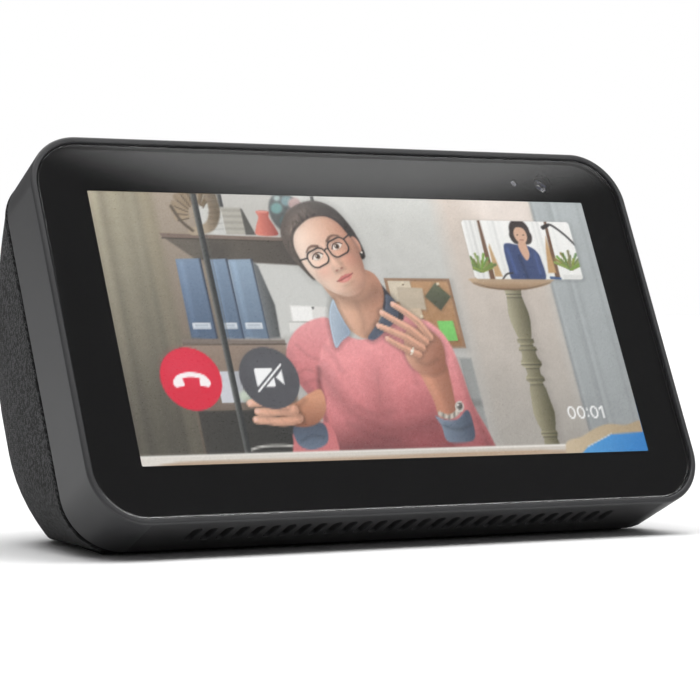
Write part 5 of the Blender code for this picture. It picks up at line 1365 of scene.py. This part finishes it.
    # closed mouth at rest
    c.lay((206, 122, 116), outline([(-2.3, -6.72), (-1.1, -6.28), (-0.4, -6.12), (0.0, -6.24), (0.4, -6.12),
                                    (1.1, -6.28), (2.3, -6.72), (1.0, -6.84), (-1.0, -6.84)]), 0.28)
    c.lay((216, 134, 126), outline([(-2.2, -6.76), (-1.0, -6.86), (1.0, -6.86), (2.2, -6.76), (1.3, -7.44),
                                    (0.0, -7.72), (-1.3, -7.44)]), 0.28)
    c.lay((132, 66, 62), line([(-2.4, -6.70), (-1.0, -6.86), (0.0, -6.80), (1.0, -6.86), (2.4, -6.70)],
                              0.09), 0.22)
    c.lay((240, 178, 168), oval(-0.2, -7.28, 0.8, 0.16), 0.5, 0.6)
    soften(oval(0.0, -8.35, 1.6, 0.32), 1.0, 0.90)
    # glasses
    frameTone = (44, 38, 38)
    for side in (-1, 1):
        lens = c.plate(*at(side * 3.05 - 2.45, -0.3 - 1.95), *at(side * 3.05 + 2.45, -0.3 + 1.95))
        middleX, middleY = at(side * 3.05, -0.3)
        lens = c.plate(middleX - 2.5 * size, middleY - 1.95 * size, middleX + 2.5 * size,
                       middleY + 1.95 * size, 1.55 * size, tilt)
        soften(lens, 0.4, 1.03)
        soften(np.abs(lens - 0.35) - 0.15, 0.6, 0.90)
        c.lay(frameTone, np.abs(lens) - 0.17 * size, 0.26)
        c.lay(frameTone, line([(side * 5.5, 0.7), (side * 7.3, 1.0)], 0.17), 0.26)
        c.lay((250, 246, 242), c.bar(*at(side * 3.05 - 1.4, 0.5), *at(side * 3.05 - 0.9, 1.0), 0.07), 0.3,
              0.5)
    c.lay(frameTone, line([(-0.62, 0.35), (0.0, 0.62), (0.62, 0.35)], 0.15), 0.26)
    # stud earring
    c.lay((240, 232, 220), oval(7.6, -3.7, 0.24, 0.24), 0.22)


def paintHands(c):
    light, mid, dark = (236, 186, 160), (206, 148, 122), (150, 98, 78)

    def finger(points, wide, tip, tone=0.0):
        body = c.path(points, wide, last=tip)
        c.shade(0.78, body - 0.35, 1.2)
        c.lay(mixed(light, mid, 0.45 + tone + (c.x - points[0][0]) / 22 - (c.y - points[-1][1]) / 60), body,
              0.3)
        lower = c.path([(x + 0.25, y - wide * 0.72) for x, y in points], wide * 0.28)
        c.shade(0.84, np.maximum(body, lower), 0.7)
        upper = c.path([(x - 0.1, y + wide * 0.5) for x, y in points], wide * 0.16)
        c.shade(1.06, np.maximum(body, upper), 0.6)
        for x, y in points[1:-1]:
            c.shade(0.92, np.maximum(body, c.oval(x, y, 0.16, wide * 0.7, 35)), 0.4)
        (x1, y1), (x0, y0) = points[-1], points[-2]
        far = math.hypot(x1 - x0, y1 - y0)
        nail = (x1 + (x1 - x0) / far * tip * 0.2, y1 + (y1 - y0) / far * tip * 0.2 + 0.2)
        c.lay((238, 198, 182), c.oval(*nail, tip * 0.66, tip * 0.46,
                                      math.degrees(math.atan2(y1 - y0, x1 - x0))), 0.25, 0.85)

    # raised forearm and palm
    arm = c.shape([(68.6, 21.6), (70.0, 17.0), (71.2, 12.6), (71.8, 9.0), (76.2, 9.6), (76.4, 13.0),
                   (76.6, 17.6), (76.4, 21.6), (73.2, 25.0), (69.6, 24.4)])
    c.lay(mixed(mid, dark, (c.x - 70) / 8 + (20 - c.y) / 60), arm, 0.4)
    c.shade(1.12, np.maximum(arm, c.path([(70.6, 19.6), (72.4, 14.0), (73.0, 10.0)], 0.8)), 2.0)
    palm = c.shape([(67.2, 25.8), (66.9, 22.6), (68.6, 19.8), (72.0, 18.8), (75.6, 20.0), (76.8, 23.2),
                    (76.6, 26.8), (74.0, 29.4), (70.4, 29.6), (68.0, 28.4)])
    c.shade(0.8, palm - 0.3, 1.4)
    c.lay(mixed(light, dark, 0.34 + (c.x - 68) / 13 + (23 - c.y) / 30), palm, 0.4)
    c.shade(0.84, np.maximum(palm, c.path([(69.4, 22.0), (71.6, 21.2), (74.6, 22.4)], 0.3)), 1.2)
    finger([(74.0, 27.6), (72.0, 31.0), (69.4, 33.4), (66.8, 35.2)], 0.95, 0.72, -0.1)
    finger([(72.6, 26.6), (69.6, 29.4), (66.4, 31.4), (63.6, 33.2)], 0.98, 0.74, 0.0)
    finger([(71.4, 25.2), (68.2, 27.4), (64.8, 29.0), (62.0, 30.2)], 0.96, 0.70, 0.05)
    finger([(70.2, 23.6), (67.4, 24.8), (65.2, 26.0), (63.4, 27.2)], 0.84, 0.62, 0.1)
    c.lay((226, 214, 196), c.path([(68.3, 23.6), (68.9, 24.2), (69.2, 25.0)], 0.2), 0.25)  # ring
    c.lay((250, 248, 244), c.oval(68.7, 24.4, 0.34, 0.3), 0.22)
    # shirt cuff and wristwatch
    cuff = c.shape([(70.6, 9.4), (71.6, 7.0), (72.0, 3.8), (75.0, 3.2), (79.0, 4.0), (79.6, 8.6),
                    (78.8, 10.6), (76.0, 8.6), (73.0, 8.4)])
    c.lay(mixed((128, 142, 158), (74, 84, 100), (c.x - 71) / 8), cuff, 0.35)
    c.shade(0.78, np.maximum(cuff, c.path([(72.4, 7.0), (75.6, 6.2), (79.0, 7.2)], 0.25)), 0.9)
    c.shade(1.16, np.maximum(cuff, c.path([(71.6, 9.0), (74.0, 8.2), (77.6, 9.4)], 0.2)), 0.6)
    strap = c.path([(71.9, 9.9), (74.0, 9.1), (76.4, 10.2), (77.6, 12.2)], 0.55)
    c.lay((176, 170, 160), strap, 0.28)
    for k in range(9):
        t = k / 8
        x, y = 71.9 + 5.6 * t, 9.9 - 2.6 * t * (1 - t) * 2 + 2.2 * t * t
        c.shade(0.72 if k % 2 else 1.2, np.maximum(strap, c.oval(x, y, 0.22, 0.7, -20)), 0.35)
    c.lay((206, 202, 194), c.oval(77.2, 11.4, 1.05, 1.3, -30), 0.28)
    c.lay((92, 88, 84), c.oval(77.3, 11.5, 0.66, 0.9, -30), 0.28)
    c.lay((238, 236, 230), c.oval(77.0, 11.8, 0.2, 0.3, -30), 0.25)
    # other hand, palm up
    hand = c.shape([(44.4, 15.8), (41.0, 14.8), (37.6, 13.0), (34.0, 12.6), (33.2, 10.4), (35.4, 8.2),
                    (38.8, 7.6), (42.2, 8.6), (44.6, 11.6)])
    c.lay(mixed((214, 154, 122), (150, 98, 76), (12.8 - c.y) / 6 + 0.2), hand, 0.4)
    finger([(37.6, 9.6), (34.0, 8.9), (30.6, 9.2), (27.8, 9.4)], 1.15, 0.86, 0.2)
    finger([(37.0, 11.4), (33.6, 11.2), (31.0, 11.0), (28.6, 11.2)], 1.15, 0.9, 0.1)
    finger([(35.0, 12.6), (31.6, 13.0), (29.0, 13.2), (27.2, 13.0)], 1.1, 0.86, 0.0)
    c.shade(0.82, np.maximum(hand, c.path([(40.0, 13.6), (38.0, 11.6), (38.6, 9.0)], 0.4)), 1.3)


def makePicture():
    left, right, bottom, top = pictureEdges()
    low, high = span("display_panel")
    columns, rows = picture["columns"], picture["rows"]

    def spaced(count, length, spots):  # finer spacing where the picture has fine detail
        fine = np.linspace(0, length, 2000)
        weight = 1 + sum(more * np.exp(-((fine - at) / wide) ** 2) for at, wide, more in spots)
        total = np.concatenate([[0], np.cumsum((weight[1:] + weight[:-1]) / 2)])
        return np.interp(np.linspace(0, total[-1], count), total, fine)

    across = spaced(columns, picture["wide"], ((54, 11, 0.9), (33, 6, 0.3), (15, 6, 0.3), (104, 9, 0.4)))
    up = spaced(rows, picture["tall"], ((47, 12, 0.8), (17, 7, 0.3)))
    gridX, gridY = np.meshgrid(across, up)
    canvas = Canvas(gridX.ravel(), gridY.ravel())
    for layer in (paintRoom, paintShelves, paintCorkBoard, paintPedestal, paintClothes, paintShirtAndNeck,
                  paintHead, paintHands,
                  paintDesk, paintInset):
        layer(canvas)
    canvas.colour += canvas.random.normal(0, picture["grain"], canvas.x.size)[:, None]  # faint camera grain
    paintControls(canvas)
    tone = np.clip(canvas.colour / 255, 0, 1)
    tone = np.where(tone <= 0.04045, tone / 12.92, ((tone + 0.055) / 1.055) ** 2.4)

    near = low.y
    pointX = left + gridX / picture["wide"] * (right - left)
    pointZ = bottom + gridY / picture["tall"] * (top - bottom)
    points = np.stack([pointX.ravel(), np.full(gridX.size, near), pointZ.ravel()], 1)
    index = np.arange(columns * rows).reshape(rows, columns)
    faces = np.stack([index[:-1, :-1], index[:-1, 1:], index[1:, 1:], index[1:, :-1]], -1).reshape(-1, 4)
    rim = np.concatenate([index[0, :-1], index[:-1, -1], index[-1, :0:-1], index[:0:-1, 0]])
    outer = [(low.x, near, low.z), (high.x, near, low.z), (high.x, near, high.z), (low.x, near, high.z)]
    behind = [(x, high.y, z) for x, _, z in outer]
    start = len(points)
    corners = [0, columns - 1, columns + rows - 2, 2 * columns + rows - 3]
    allFaces = [tuple(int(v) for v in f) for f in faces]
    for side in range(4):  # margin round the picture, the panel's sides and its back
        first, last = corners[side], corners[(side + 1) % 4] if side < 3 else len(rim)
        stretch = [int(rim[i % len(rim)]) for i in range(first, last + 1)]
        follow = (side + 1) % 4
        allFaces.append(tuple([start + side, start + follow] + stretch[::-1]))
        allFaces.append((start + side, start + 4 + side, start + 4 + follow, start + follow))
    allFaces.append((start + 4, start + 7, start + 6, start + 5))
    mesh = bpy.data.meshes.new("display_picture")
    mesh.from_pydata([tuple(p) for p in points] + outer + behind, [], allFaces)
    colours = np.ones((len(mesh.vertices), 4))
    colours[:, :3] = 0.004
    colours[:start, :3] = tone
    mesh.color_attributes.new("tone", "FLOAT_COLOR", "POINT").data.foreach_set("color", colours.ravel())
    piece = addObject("display_picture", finishMesh(mesh), faceMatrix)

    made, tree, shader = newMaterial("litScreen", Base_Color=(0.01, 0.01, 0.01, 1), Roughness=0.3,
                                     Emission_Strength=picture["glow"])
    painted = node(tree, "VertexColor", layer_name="tone").outputs["Color"]
    link(tree, painted, shader.inputs["Emission Color"])
    link(tree, spread(tree, noise(tree, placed(tree), 3000.0), 0.25, 0.4), shader.inputs["Roughness"])
    return settle(piece, made, "screen", "body", "display_panel")

makeFrame()
print("front frame made")
makeGlass()
print("glass and border made")
makePicture()
print("picture made")
for buttonName, marks in buttonMarks.items():
    makeButton(buttonName, marks)
makeShutter()
makeLens()
print("buttons, shutter and camera made")
makeSleeve()
print("sleeve made")
for member, finishName in (("base_plate", "black"), ("rubber_foot", "rubber"), ("slot_mesh", "dustMesh"),
                           ("port_tray", "tray"), ("power_socket", "tray"), ("service_socket", "steel")):
    nodes[member].data.materials.clear()
    nodes[member].data.materials.append(finish[finishName])

# ---- stage, lights and camera

stageLook = {"floor": 40.0, "white": (0.9, 0.9, 0.9), "world": 0.17, "lobes": (
    {"turn": 150.0, "up": 82.0, "wide": (48.0, 12.0), "level": 3.5},
    {"turn": 60.0, "up": 56.3, "wide": (17.1, 15.6), "level": 2.3})}
viewShape = {"turn": 30.14, "drop": 0.75, "distance": 580 * mm, "lens": 139.3,
             "aim": (-3.3 * mm, -12.3 * mm, 40.7 * mm)}


def makeStage():
    size = stageLook["floor"]
    mesh = bpy.data.meshes.new("floor")
    mesh.from_pydata([(-size, -size, 0), (size, -size, 0), (size, size, 0), (-size, size, 0)], [],
                     [(0, 1, 2, 3)])
    floor = addObject("floor", mesh)
    made, tree, shader = newMaterial("palePaper", Base_Color=(*stageLook["white"], 1), Roughness=0.9)
    grain = noise(tree, placed(tree), 300.0, 4.0)
    link(tree, spread(tree, grain, 0.85, 0.95), shader.inputs["Roughness"])
    mesh.materials.append(made)
    floor.location.z = cadBox[0].z - 0.05 * mm

    world = bpy.data.worlds.new("studio")
    bpy.context.scene.world = world
    world.use_nodes = True
    tree = world.node_tree
    background = tree.nodes["Background"]
    direction = placed(tree, "Generated")
    level = stageLook["world"]
    # soft round lamps: brightest inside the narrow angle, nothing past the wide one
    for lobe in stageLook["lobes"]:
        turn, up = math.radians(lobe["turn"]), math.radians(lobe["up"])
        towards = (math.sin(turn) * math.cos(up), -math.cos(turn) * math.cos(up), math.sin(up))
        facing = node(tree, "VectorMath", {0: direction, 1: towards},
                      operation="DOT_PRODUCT").outputs["Value"]
        wide, narrow = (math.cos(math.radians(a)) for a in lobe["wide"])
        soft = node(tree, "MapRange", {"Value": facing, "From Min": wide, "From Max": narrow, "To Min": 0.0,
                                       "To Max": lobe["level"]},
                    interpolation_type="SMOOTHERSTEP").outputs["Result"]
        level = math2(tree, "ADD", soft, level)
    seen = node(tree, "LightPath").outputs["Is Camera Ray"]
    background.inputs["Color"].default_value = (1, 1, 1, 1)
    link(tree, node(tree, "Mix", {"Factor": seen, 2: level, 3: 1.0}, data_type="FLOAT").outputs[0],
         background.inputs["Strength"])


def makeCamera():
    v = viewShape
    turn, drop = math.radians(v["turn"]), math.radians(v["drop"])
    forward = Vector((math.sin(turn) * math.cos(drop), math.cos(turn) * math.cos(drop), -math.sin(drop)))
    lens = bpy.data.cameras.new("view")
    lens.lens = v["lens"]
    lens.sensor_width = 36
    camera = addObject("view", lens)
    camera.location = Vector(v["aim"]) - forward * v["distance"]
    camera.rotation_euler = forward.to_track_quat("-Z", "Y").to_euler()
    bpy.context.scene.camera = camera


makeStage()
makeCamera()
bpy.context.scene.view_settings.view_transform = "Standard"
print("stage, lights and camera placed")
